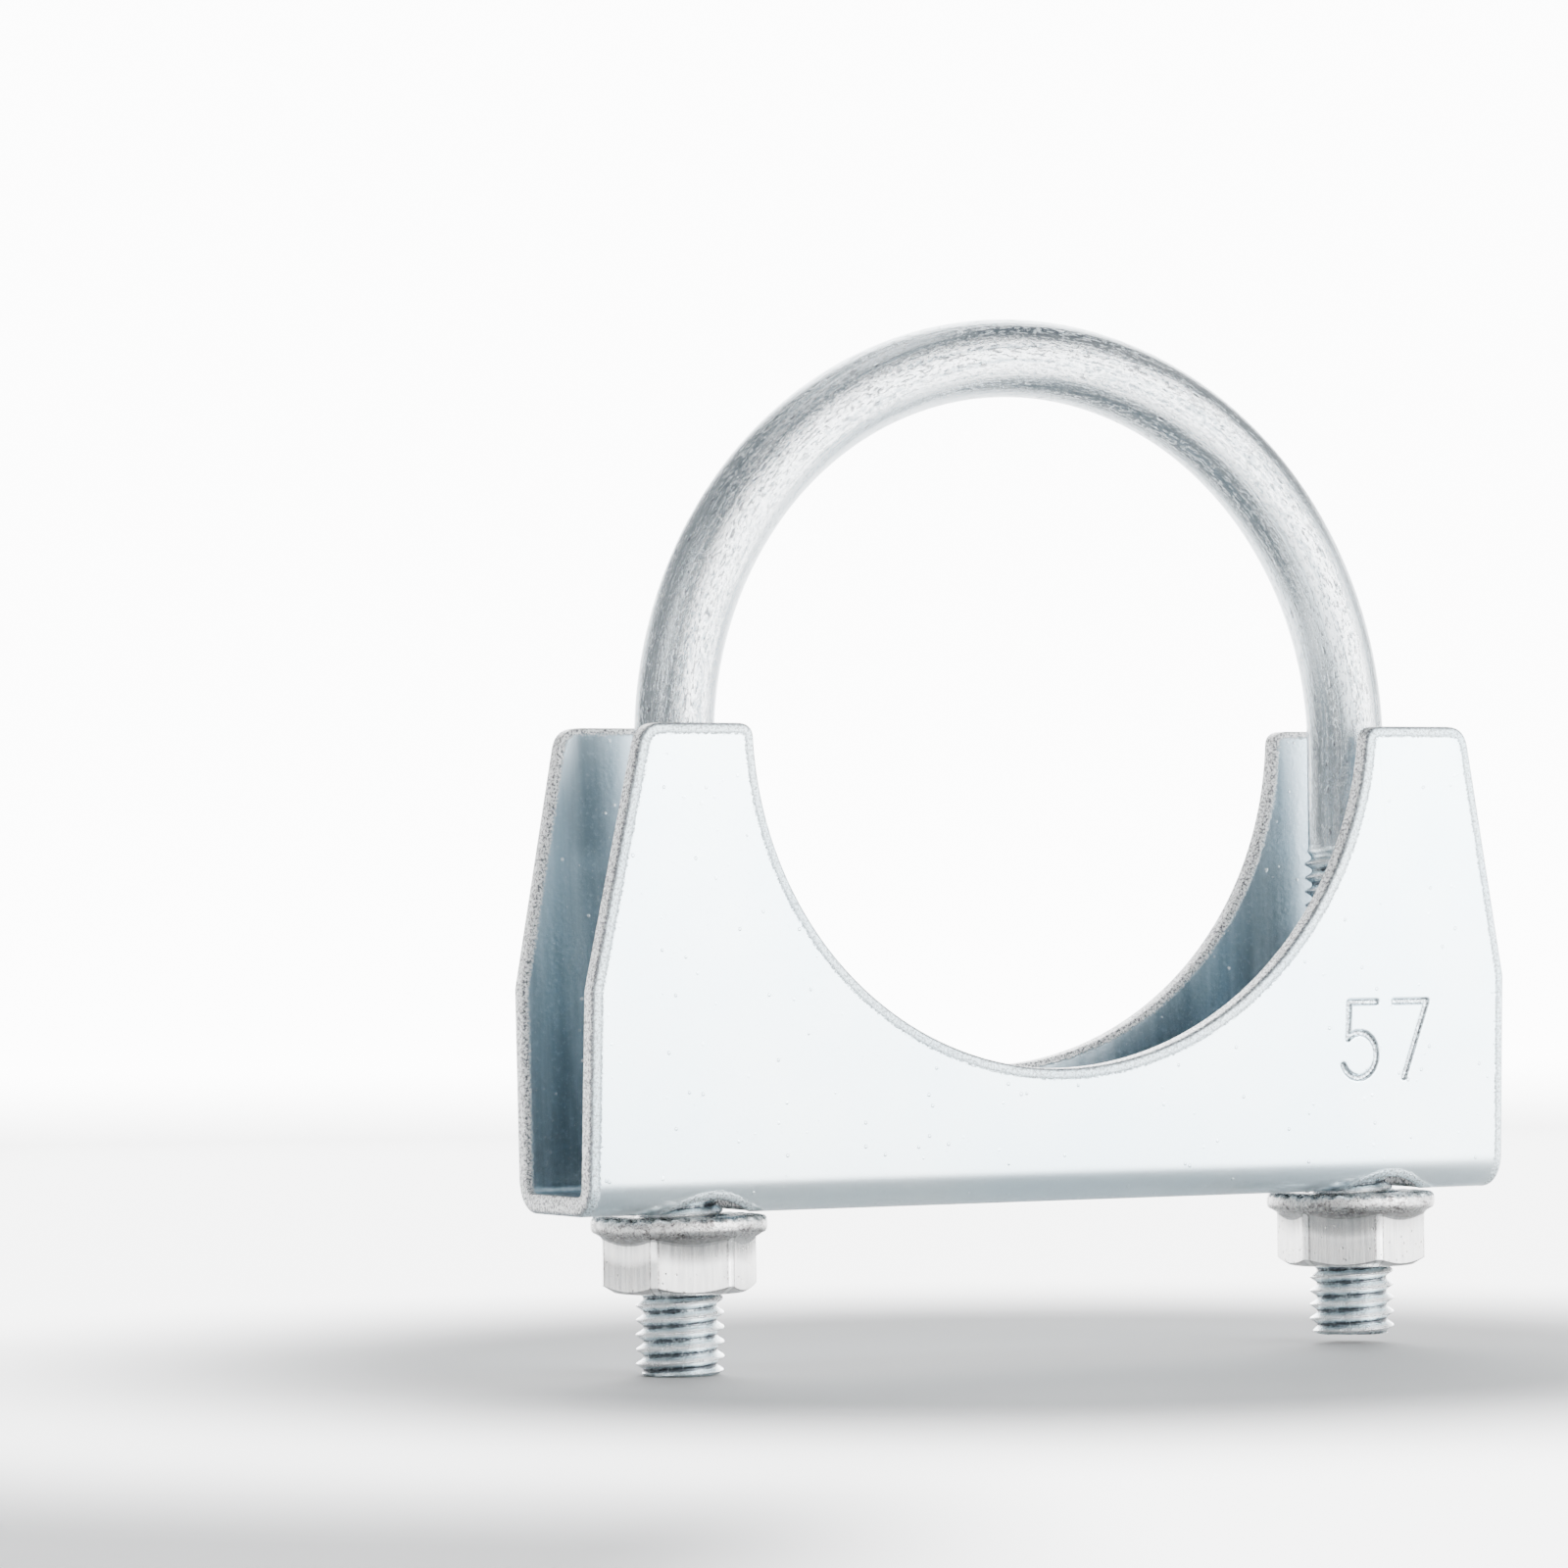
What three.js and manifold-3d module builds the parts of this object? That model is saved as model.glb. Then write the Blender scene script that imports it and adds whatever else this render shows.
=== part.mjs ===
// Exhaust U-bolt clamp: a round steel bar bent into a bow with two threaded legs, a pressed
// channel saddle that slides up the legs against the pipe, and two hexagon flange nuts.
// Millimetres. The pipe's axis is Y, the bow is on top (+Z) and the threaded legs point down.
// The origin is the centre of the bow, which is where the axis of a seated pipe lies.
import * as THREE from 'three';
import { mergeVertices } from 'three/addons/utils/BufferGeometryUtils.js';
import Module from 'manifold-3d';

// ---- Driving dimensions, in millimetres -----------------------------------------------------

// Bow and legs.
const BAR_DIAMETER = 6.9;
const BOW_CLEAR_WIDTH = 61.5;
const BOW_RADIUS = (BOW_CLEAR_WIDTH + BAR_DIAMETER) / 2;
const LEG_END_LEFT = -54.2;
const LEG_END_RIGHT = -53.4;
const LEG_END_CHAMFER = 0.5;

// Thread, M8 x 1.25, rolled on the legs, right-handed.
const THREAD_PITCH = 1.25;
const THREAD_CREST_RADIUS = 3.8;
const THREAD_ROOT_RADIUS = 3.15;
const THREAD_TOP = -9.0;
const THREAD_RUN_OUT = 1.5;
const NUT_THREAD_CREST_RADIUS = 4.0;
const NUT_THREAD_ROOT_RADIUS = 3.4;

// Saddle: a channel of bent sheet, open upwards, with a round notch across both plates.
const SHEET = 1.7;
const CHANNEL_WIDTH = 14.0;
const PLATE_LEAN = 0.043;
const OUTER_BEND_RADIUS = 3.0;
const INNER_BEND_RADIUS = 0.8;
const WEB_UNDERSIDE = -40.2;
const HORN_TOP = 1.5;
const HORN_HALF_LENGTH = 41.5;
const KNEE_HALF_LENGTH = 46.0;
const KNEE_HEIGHT = -21.0;
const WEB_HALF_LENGTH = 46.1;
const HORN_OUTER_CORNER = 1.8;
const HORN_INNER_CORNER = 1.5;
const NOTCH_RADIUS = 31.0;
const NOTCH_CENTRE = 2.5;
const LEG_HOLE_RADIUS = 5.0;
const HOLE_ARCH_HALF_WIDTH = 4.4;
const HOLE_ARCH_HEIGHT = 1.0;

// Stamped size number on the front plate.
const STAMP_HEIGHT = 6.8;
const STAMP_DIGIT_WIDTH = 3.7;
const STAMP_LEFT = 28.9;
const STAMP_BOTTOM = -30.0;
const STAMP_DIGIT_GAP = 1.5;
const STAMP_STROKE = 0.5;
const STAMP_DEPTH = 0.25;
const STAMP_BOWL_START = 125;
const STAMP_BOWL_SWEEP = 280;

// Flange nuts.
const NUT_GAP = 0.3;
const NUT_SEAT = WEB_UNDERSIDE - NUT_GAP;
const NUT_HEIGHT = 6.6;
const NUT_ACROSS_FLATS = 11.9;
const NUT_LEFT_TURN = 44.5;
const NUT_RIGHT_TURN = 19.6;
const FLANGE_RADIUS = 7.6;
const FLANGE_RIM = 1.5;
const FLANGE_ROUND = 0.45;
const FLANGE_NECK_RADIUS = 6.3;
const FLANGE_NECK_DEPTH = 2.1;
const NUT_FACE_RADIUS = 5.6;
const NUT_CHAMFER_DEPTH = 0.75;

// Fineness of the facets.
const BAR_SIDES = 20;
const BOW_STEPS = 56;
const THREAD_SIDES = 12;
const ROUND_SIDES = 36;
const NOTCH_STEPS = 40;
const OUTER_BEND_STEPS = 8;
const INNER_BEND_STEPS = 4;
const STAMP_BOWL_STEPS = 8;

// How far blanks and cutters run past the faces that they trim.
const OVERCUT = 1;

// ---- Boolean helpers ------------------------------------------------------------------------

const wasm = await Module();
wasm.setup();

/** Turns a closed three.js geometry into a solid. */
function solid(geometry) {
  const bare = geometry.clone();
  bare.deleteAttribute('normal');
  bare.deleteAttribute('uv');
  const merged = mergeVertices(bare, 1e-4);
  return new wasm.Manifold(new wasm.Mesh({
    numProp: 3,
    vertProperties: new Float32Array(merged.attributes.position.array),
    triVerts: new Uint32Array(merged.index.array),
  }));
}

/** Turns a solid back into a three.js geometry. */
function geometryOf(body) {
  const mesh = body.getMesh();
  const geometry = new THREE.BufferGeometry();
  geometry.setAttribute('position', new THREE.BufferAttribute(mesh.vertProperties, 3));
  geometry.setIndex(new THREE.BufferAttribute(mesh.triVerts, 1));
  geometry.computeVertexNormals();
  return geometry;
}

/** A solid of revolution about Z from [radius, height] pairs that start and end on the axis. */
function turned(profile, sides = ROUND_SIDES) {
  const points = profile.map(([radius, height]) => new THREE.Vector2(radius, height));
  return solid(new THREE.LatheGeometry(points, sides).rotateX(Math.PI / 2));
}

/** Extrudes a shape drawn in X and Z along Y, from `from` to `to`. */
function extrudedAlongY(shape, from, to, curveSegments = 6) {
  const geometry = new THREE.ExtrudeGeometry(shape, {
    depth: to - from,
    bevelEnabled: false,
    curveSegments,
  });
  return solid(geometry.rotateX(Math.PI / 2).translate(0, to, 0));
}

// ---- U-bolt ---------------------------------------------------------------------------------

/** The centre line of the plain bar: up the left leg, round the bow and down the right leg. */
class BowLine extends THREE.Curve {
  constructor(radius, legLength) {
    super();
    this.radius = radius;
    this.legLength = legLength;
  }

  getPoint(t, target = new THREE.Vector3()) {
    const arc = Math.PI * this.radius;
    const along = t * (arc + 2 * this.legLength) - this.legLength;
    if (along < 0) return target.set(-this.radius, 0, along);
    if (along > arc) return target.set(this.radius, 0, arc - along);
    const angle = Math.PI - along / this.radius;
    return target.set(this.radius * Math.cos(angle), 0, this.radius * Math.sin(angle));
  }
}

/** A regular polygon whose corners lie on a circle. */
function polygon(radius, sides, turn = 0) {
  const shape = new THREE.Shape();
  for (let i = 0; i < sides; i += 1) {
    const angle = turn + (2 * Math.PI * i) / sides;
    const point = [radius * Math.cos(angle), radius * Math.sin(angle)];
    if (i === 0) shape.moveTo(...point);
    else shape.lineTo(...point);
  }
  shape.closePath();
  return shape;
}

/**
 * A right-handed V thread about Z, over-long at both ends so that it can be trimmed flat.
 * A crest passes through angle 0 at height `phase`, and then every pitch.
 */
function threadSolid(crestRadius, rootRadius, low, high, phase) {
  const firstTurn = Math.floor((low - phase) / THREAD_PITCH) - 2;
  const turns = Math.ceil((high - low) / THREAD_PITCH) + 4;
  const count = turns * THREAD_SIDES + 1;
  const positions = [];
  for (const [radius, shift] of [[rootRadius, 0], [crestRadius, 0.5], [rootRadius, 1]]) {
    for (let n = 0; n < count; n += 1) {
      const angle = (2 * Math.PI * n) / THREAD_SIDES;
      const turn = firstTurn - 0.5 + n / THREAD_SIDES + shift;
      positions.push(radius * Math.cos(angle), radius * Math.sin(angle), phase + turn * THREAD_PITCH);
    }
  }
  const triangles = [];
  for (let strip = 0; strip < 2; strip += 1) {
    for (let n = 0; n < count - 1; n += 1) {
      const a = strip * count + n;
      const b = a + count;
      triangles.push(a, a + 1, b, b, a + 1, b + 1);
    }
  }
  // The two ends close onto the axis: the first turn's root line below and the last turn's above.
  const below = positions.length / 3;
  const above = below + 1;
  positions.push(0, 0, phase + (firstTurn - 1.5) * THREAD_PITCH);
  positions.push(0, 0, phase + (firstTurn + turns + 1.5) * THREAD_PITCH);
  for (let n = 0; n < THREAD_SIDES; n += 1) {
    triangles.push(below, n + 1, n);
    const top = 2 * count + count - 1 - THREAD_SIDES + n;
    triangles.push(above, top, top + 1);
  }
  triangles.push(below, 0, count, below, count, 2 * count);
  triangles.push(above, count - 1 + count, count - 1);
  triangles.push(above, 3 * count - 1, 2 * count - 1);
  const geometry = new THREE.BufferGeometry();
  geometry.setAttribute('position', new THREE.Float32BufferAttribute(positions, 3));
  geometry.setIndex(triangles);
  return solid(geometry);
}

/** One threaded leg, with its end chamfered, at its place under the bow. */
function threadedLeg(side, end) {
  const thread = threadSolid(THREAD_CREST_RADIUS, THREAD_ROOT_RADIUS, end, THREAD_TOP, 0);
  const outside = THREAD_CREST_RADIUS + OVERCUT;
  const trim = turned([
    [0, end],
    [THREAD_CREST_RADIUS - LEG_END_CHAMFER, end],
    [outside, end + LEG_END_CHAMFER + OVERCUT],
    [outside, THREAD_TOP],
    [0, THREAD_TOP],
  ]);
  return thread.intersect(trim).translate([side * BOW_RADIUS, 0, 0]);
}

function makeUBolt() {
  const bar = solid(new THREE.ExtrudeGeometry(polygon(BAR_DIAMETER / 2, BAR_SIDES), {
    steps: BOW_STEPS,
    bevelEnabled: false,
    extrudePath: new BowLine(BOW_RADIUS, THREAD_RUN_OUT - THREAD_TOP),
  }));
  return geometryOf(bar.add(threadedLeg(-1, LEG_END_LEFT)).add(threadedLeg(1, LEG_END_RIGHT)));
}

// ---- Saddle ---------------------------------------------------------------------------------

/** The channel's cross-section in Y and Z: a web, two bends and two plates that lean outwards. */
function channelSection() {
  const turn = Math.PI / 2 - PLATE_LEAN;
  const plateTop = HORN_TOP + OVERCUT;
  const half = (radius, inset, steps) => {
    // The plate's face and the web's face meet the bend's arc at its two ends.
    const web = WEB_UNDERSIDE + inset;
    const corner = CHANNEL_WIDTH / 2 - inset;
    const centre = [corner - radius * Math.tan(turn / 2), web + radius];
    const points = [];
    for (let i = 0; i <= steps; i += 1) {
      const angle = -Math.PI / 2 + (turn * i) / steps;
      points.push([centre[0] + radius * Math.cos(angle), centre[1] + radius * Math.sin(angle)]);
    }
    const [lastY, lastZ] = points[points.length - 1];
    points.push([lastY + Math.tan(PLATE_LEAN) * (plateTop - lastZ), plateTop]);
    return points;
  };
  const outer = half(OUTER_BEND_RADIUS, 0, OUTER_BEND_STEPS);
  const inner = half(INNER_BEND_RADIUS, SHEET, INNER_BEND_STEPS);
  const mirrored = (points) => points.map(([y, z]) => [-y, z]);
  const outline = [
    ...outer,
    ...inner.slice().reverse(),
    ...mirrored(inner),
    ...mirrored(outer).reverse(),
  ];
  return new THREE.Shape(outline.map(([y, z]) => new THREE.Vector2(y, z)));
}

/** The side outline in X and Z: horns either side of the notch, knees and square web ends. */
function sideOutline() {
  const bottom = WEB_UNDERSIDE - OVERCUT;
  const notchTop = Math.sqrt(NOTCH_RADIUS ** 2 - (HORN_TOP - HORN_INNER_CORNER - NOTCH_CENTRE) ** 2);
  const startAngle = Math.atan2(HORN_TOP - HORN_INNER_CORNER - NOTCH_CENTRE, notchTop);
  const edgeRun = (KNEE_HALF_LENGTH - HORN_HALF_LENGTH) / (HORN_TOP - KNEE_HEIGHT);
  const shoulder = HORN_TOP - HORN_OUTER_CORNER;
  const shape = new THREE.Shape();
  shape.moveTo(-WEB_HALF_LENGTH, bottom);
  shape.lineTo(WEB_HALF_LENGTH, bottom);
  shape.lineTo(KNEE_HALF_LENGTH, KNEE_HEIGHT);
  shape.lineTo(HORN_HALF_LENGTH + edgeRun * HORN_OUTER_CORNER, shoulder);
  shape.quadraticCurveTo(HORN_HALF_LENGTH, HORN_TOP, HORN_HALF_LENGTH - HORN_OUTER_CORNER, HORN_TOP);
  shape.lineTo(notchTop + HORN_INNER_CORNER, HORN_TOP);
  shape.quadraticCurveTo(notchTop, HORN_TOP, notchTop, HORN_TOP - HORN_INNER_CORNER);
  for (let i = 1; i < NOTCH_STEPS; i += 1) {
    const angle = startAngle - ((Math.PI + 2 * startAngle) * i) / NOTCH_STEPS;
    shape.lineTo(NOTCH_RADIUS * Math.cos(angle), NOTCH_CENTRE + NOTCH_RADIUS * Math.sin(angle));
  }
  shape.lineTo(-notchTop, HORN_TOP - HORN_INNER_CORNER);
  shape.quadraticCurveTo(-notchTop, HORN_TOP, -notchTop - HORN_INNER_CORNER, HORN_TOP);
  shape.lineTo(-HORN_HALF_LENGTH + HORN_OUTER_CORNER, HORN_TOP);
  shape.quadraticCurveTo(
    -HORN_HALF_LENGTH, HORN_TOP,
    -HORN_HALF_LENGTH - edgeRun * HORN_OUTER_CORNER, shoulder,
  );
  shape.lineTo(-KNEE_HALF_LENGTH, KNEE_HEIGHT);
  shape.closePath();
  return shape;
}

/** The hole for one leg, with the low arches that it leaves in the two bends. */
function legHole(side) {
  const x = side * BOW_RADIUS;
  const inside = WEB_UNDERSIDE + SHEET + OVERCUT;
  const below = WEB_UNDERSIDE - OVERCUT;
  const hole = turned([
    [0, below],
    [LEG_HOLE_RADIUS, below],
    [LEG_HOLE_RADIUS, inside],
    [0, inside],
  ]).translate([x, 0, 0]);
  const archRadius = (HOLE_ARCH_HALF_WIDTH ** 2 + HOLE_ARCH_HEIGHT ** 2) / (2 * HOLE_ARCH_HEIGHT);
  const archCentre = WEB_UNDERSIDE + HOLE_ARCH_HEIGHT - archRadius;
  const arch = solid(new THREE.CylinderGeometry(
    archRadius, archRadius, CHANNEL_WIDTH + 2 * OVERCUT, ROUND_SIDES * 2,
  ).translate(x, 0, archCentre));
  return hole.add(arch);
}

/** A straight groove between two points of a digit's unit square, as a thin box. */
function stroke(from, to) {
  const start = new THREE.Vector2(from[0] * STAMP_DIGIT_WIDTH, from[1] * STAMP_HEIGHT);
  const end = new THREE.Vector2(to[0] * STAMP_DIGIT_WIDTH, to[1] * STAMP_HEIGHT);
  const along = end.clone().sub(start);
  const middle = start.clone().add(end).multiplyScalar(0.5);
  const box = new THREE.BoxGeometry(along.length() + STAMP_STROKE, 2 * STAMP_DEPTH, STAMP_STROKE);
  return solid(box.rotateY(-along.angle()).translate(middle.x, 0, middle.y));
}

/** A chain of grooves through points of a digit's unit square. */
function digit(points) {
  return points.slice(1).reduce(
    (sum, point, i) => sum.add(stroke(points[i + 1], point)),
    stroke(points[0], points[1]),
  );
}

/** The clamp's nominal pipe size, 57, sunk into the front plate's outer face. */
function sizeStamp() {
  const bowl = [];
  for (let i = 0; i <= STAMP_BOWL_STEPS; i += 1) {
    const degrees = STAMP_BOWL_START - (STAMP_BOWL_SWEEP * i) / STAMP_BOWL_STEPS;
    const angle = THREE.MathUtils.degToRad(degrees);
    bowl.push([0.42 + 0.5 * Math.cos(angle), 0.3 + 0.3 * Math.sin(angle)]);
  }
  const five = digit([[0.9, 1], [0.12, 1], [0.1, 0.52], ...bowl]);
  const seven = digit([[0, 1], [0.95, 1], [0.32, 0]]);
  const pitch = STAMP_DIGIT_WIDTH + STAMP_DIGIT_GAP;
  const face = -CHANNEL_WIDTH / 2 - PLATE_LEAN * (STAMP_BOTTOM - WEB_UNDERSIDE);
  const lean = THREE.MathUtils.radToDeg(PLATE_LEAN);
  return five.add(seven.translate([pitch, 0, 0]))
    .rotate([lean, 0, 0])
    .translate([STAMP_LEFT, face, STAMP_BOTTOM]);
}

function makeSaddle() {
  const reach = WEB_HALF_LENGTH + OVERCUT;
  const section = new THREE.ExtrudeGeometry(channelSection(), {
    depth: 2 * reach,
    bevelEnabled: false,
  });
  // The section is drawn in Y and Z, so its plane is turned upright and its depth runs along X.
  section.translate(0, 0, -reach);
  section.applyMatrix4(new THREE.Matrix4().set(
    0, 0, 1, 0,
    1, 0, 0, 0,
    0, 1, 0, 0,
    0, 0, 0, 1,
  ));
  return geometryOf(solid(section)
    .intersect(extrudedAlongY(sideOutline(), -CHANNEL_WIDTH, CHANNEL_WIDTH))
    .subtract(legHole(-1))
    .subtract(legHole(1))
    .subtract(sizeStamp()));
}

// ---- Flange nuts ----------------------------------------------------------------------------

/** A flange nut with its bearing face up at height 0 and its hexagon turned about Z. */
function makeNut(turnDegrees) {
  const flange = turned([
    [0, 0],
    [0, -FLANGE_NECK_DEPTH],
    [FLANGE_NECK_RADIUS, -FLANGE_NECK_DEPTH],
    [FLANGE_RADIUS - FLANGE_ROUND, -FLANGE_RIM],
    [FLANGE_RADIUS, -FLANGE_RIM + FLANGE_ROUND],
    [FLANGE_RADIUS, -FLANGE_ROUND],
    [FLANGE_RADIUS - FLANGE_ROUND, 0],
    [0, 0],
  ]);
  const cornerRadius = NUT_ACROSS_FLATS / Math.sqrt(3);
  const hexagon = new THREE.ExtrudeGeometry(
    polygon(cornerRadius, 6, THREE.MathUtils.degToRad(turnDegrees)),
    { depth: NUT_HEIGHT - FLANGE_RIM + FLANGE_ROUND, bevelEnabled: false },
  ).translate(0, 0, -NUT_HEIGHT);
  const chamferSlope = NUT_CHAMFER_DEPTH / (cornerRadius - NUT_FACE_RADIUS);
  const outside = cornerRadius + OVERCUT;
  const chamfer = turned([
    [0, 0],
    [0, -NUT_HEIGHT],
    [NUT_FACE_RADIUS, -NUT_HEIGHT],
    [outside, -NUT_HEIGHT + chamferSlope * (outside - NUT_FACE_RADIUS)],
    [outside, 0],
    [0, 0],
  ]);
  const thread = threadSolid(
    NUT_THREAD_CREST_RADIUS, NUT_THREAD_ROOT_RADIUS, -NUT_HEIGHT, 0, -NUT_SEAT,
  );
  return geometryOf(flange.add(solid(hexagon).intersect(chamfer)).subtract(thread));
}

// ---- Assembly -------------------------------------------------------------------------------

const FINISHES = {
  drawnZinc: { color: 0xb9bfc3, metalness: 1.0, roughness: 0.3 },
  sheetZinc: { color: 0xd5e0e8, metalness: 1.0, roughness: 0.35 },
  nutZinc: { color: 0xcfcfcc, metalness: 1.0, roughness: 0.4 },
};

/** A named mesh with its own material, at its place in the clamp. */
function piece(name, geometry, finish, position = [0, 0, 0]) {
  const mesh = new THREE.Mesh(geometry, new THREE.MeshStandardMaterial(FINISHES[finish]));
  mesh.name = name;
  mesh.position.set(...position);
  return mesh;
}

const clamp = new THREE.Group();
clamp.add(piece('u_bolt', makeUBolt(), 'drawnZinc'));
clamp.add(piece('saddle', makeSaddle(), 'sheetZinc'));
clamp.add(piece('nut_left', makeNut(NUT_LEFT_TURN), 'nutZinc', [-BOW_RADIUS, 0, NUT_SEAT]));
clamp.add(piece('nut_right', makeNut(NUT_RIGHT_TURN), 'nutZinc', [BOW_RADIUS, 0, NUT_SEAT]));

export default clamp;
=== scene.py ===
"""A zinc-plated exhaust U-bolt clamp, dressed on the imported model's frame.

A round bar is bent into a bow with two threaded legs. A saddle, pressed from sheet as a channel
with a round notch, slides up the legs, and two serrated flange nuts hold it there. The modelling
works in millimetres, in the model's own frame: X along the saddle, Y along the pipe away from the
numbered plate, Z up, with the origin at the centre of the bow. Finished meshes are in metres.
"""

import logging
import math
from collections.abc import Callable, Iterable, Mapping, Sequence
from dataclasses import dataclass, field
from enum import Enum
from typing import Any

import bmesh
import bpy
from mathutils import Matrix, Vector, noise


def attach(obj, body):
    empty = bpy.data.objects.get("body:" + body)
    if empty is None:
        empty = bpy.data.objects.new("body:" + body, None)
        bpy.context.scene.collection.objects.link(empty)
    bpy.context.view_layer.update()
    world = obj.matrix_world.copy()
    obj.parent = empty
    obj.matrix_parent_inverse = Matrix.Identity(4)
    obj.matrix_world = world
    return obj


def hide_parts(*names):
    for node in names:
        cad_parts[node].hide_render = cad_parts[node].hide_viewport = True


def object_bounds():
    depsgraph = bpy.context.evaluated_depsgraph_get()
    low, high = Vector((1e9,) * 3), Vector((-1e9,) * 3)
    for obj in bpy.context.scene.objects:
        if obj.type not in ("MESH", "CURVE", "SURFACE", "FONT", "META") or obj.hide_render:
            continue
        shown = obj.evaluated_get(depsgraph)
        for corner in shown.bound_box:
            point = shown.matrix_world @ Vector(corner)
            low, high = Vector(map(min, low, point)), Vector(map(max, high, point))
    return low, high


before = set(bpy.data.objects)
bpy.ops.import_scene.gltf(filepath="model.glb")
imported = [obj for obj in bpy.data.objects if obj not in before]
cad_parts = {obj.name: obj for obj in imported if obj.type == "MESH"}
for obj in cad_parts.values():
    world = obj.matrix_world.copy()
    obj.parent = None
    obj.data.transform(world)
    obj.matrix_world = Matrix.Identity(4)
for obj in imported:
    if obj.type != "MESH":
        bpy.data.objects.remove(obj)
MODEL_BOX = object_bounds()

log = logging.getLogger("clamp")

MM = 0.001
LEG_OFFSET = 34.2
CUT_SLACK = 1e-4
Z_AXIS = Vector((0.0, 0.0, 1.0))


class Side(Enum):
    """Which leg a piece belongs to, as the sign of its X."""

    LEFT = -1
    RIGHT = 1


class Slot(Enum):
    """The record's material slots."""

    DRAWN = "drawn_zinc"
    SHEET = "sheet_zinc"
    NUT = "nut_zinc"


# ---- Shader graphs --------------------------------------------------------------------------


@dataclass(frozen=True)
class Wire:
    """One output socket of a shader graph, with arithmetic that adds the Math nodes."""

    graph: "Graph"
    socket: bpy.types.NodeSocket

    def __add__(self, other: "Wire | float") -> "Wire":
        """Adds a wire or a number."""
        return self.graph.math("ADD", self, other)

    def __radd__(self, other: float) -> "Wire":
        """Adds to a number."""
        return self.graph.math("ADD", other, self)

    def __sub__(self, other: "Wire | float") -> "Wire":
        """Subtracts a wire or a number."""
        return self.graph.math("SUBTRACT", self, other)

    def __rsub__(self, other: float) -> "Wire":
        """Subtracts from a number."""
        return self.graph.math("SUBTRACT", other, self)

    def __mul__(self, other: "Wire | float") -> "Wire":
        """Multiplies by a wire or a number."""
        return self.graph.math("MULTIPLY", self, other)

    def __rmul__(self, other: float) -> "Wire":
        """Multiplies a number."""
        return self.graph.math("MULTIPLY", other, self)

    def size(self) -> "Wire":
        """The value without its sign."""
        return self.graph.math("ABSOLUTE", self, 0.0)

    def step(self, low: float, high: float) -> "Wire":
        """Rises smoothly from 0 at `low` to 1 at `high`, or falls if `low` is the larger.

        Args:
            low: The value that gives 0.
            high: The value that gives 1.

        Returns:
            The smooth step.
        """
        ends = {"From Min": min(low, high), "From Max": max(low, high)}
        if low < high:
            ends |= {"To Min": 0.0, "To Max": 1.0}
        else:
            ends |= {"To Min": 1.0, "To Max": 0.0}
        node = self.graph.node(
            "ShaderNodeMapRange", {"interpolation_type": "SMOOTHSTEP"}, {"Value": self} | ends
        )
        return Wire(self.graph, node.outputs["Result"])


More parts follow.
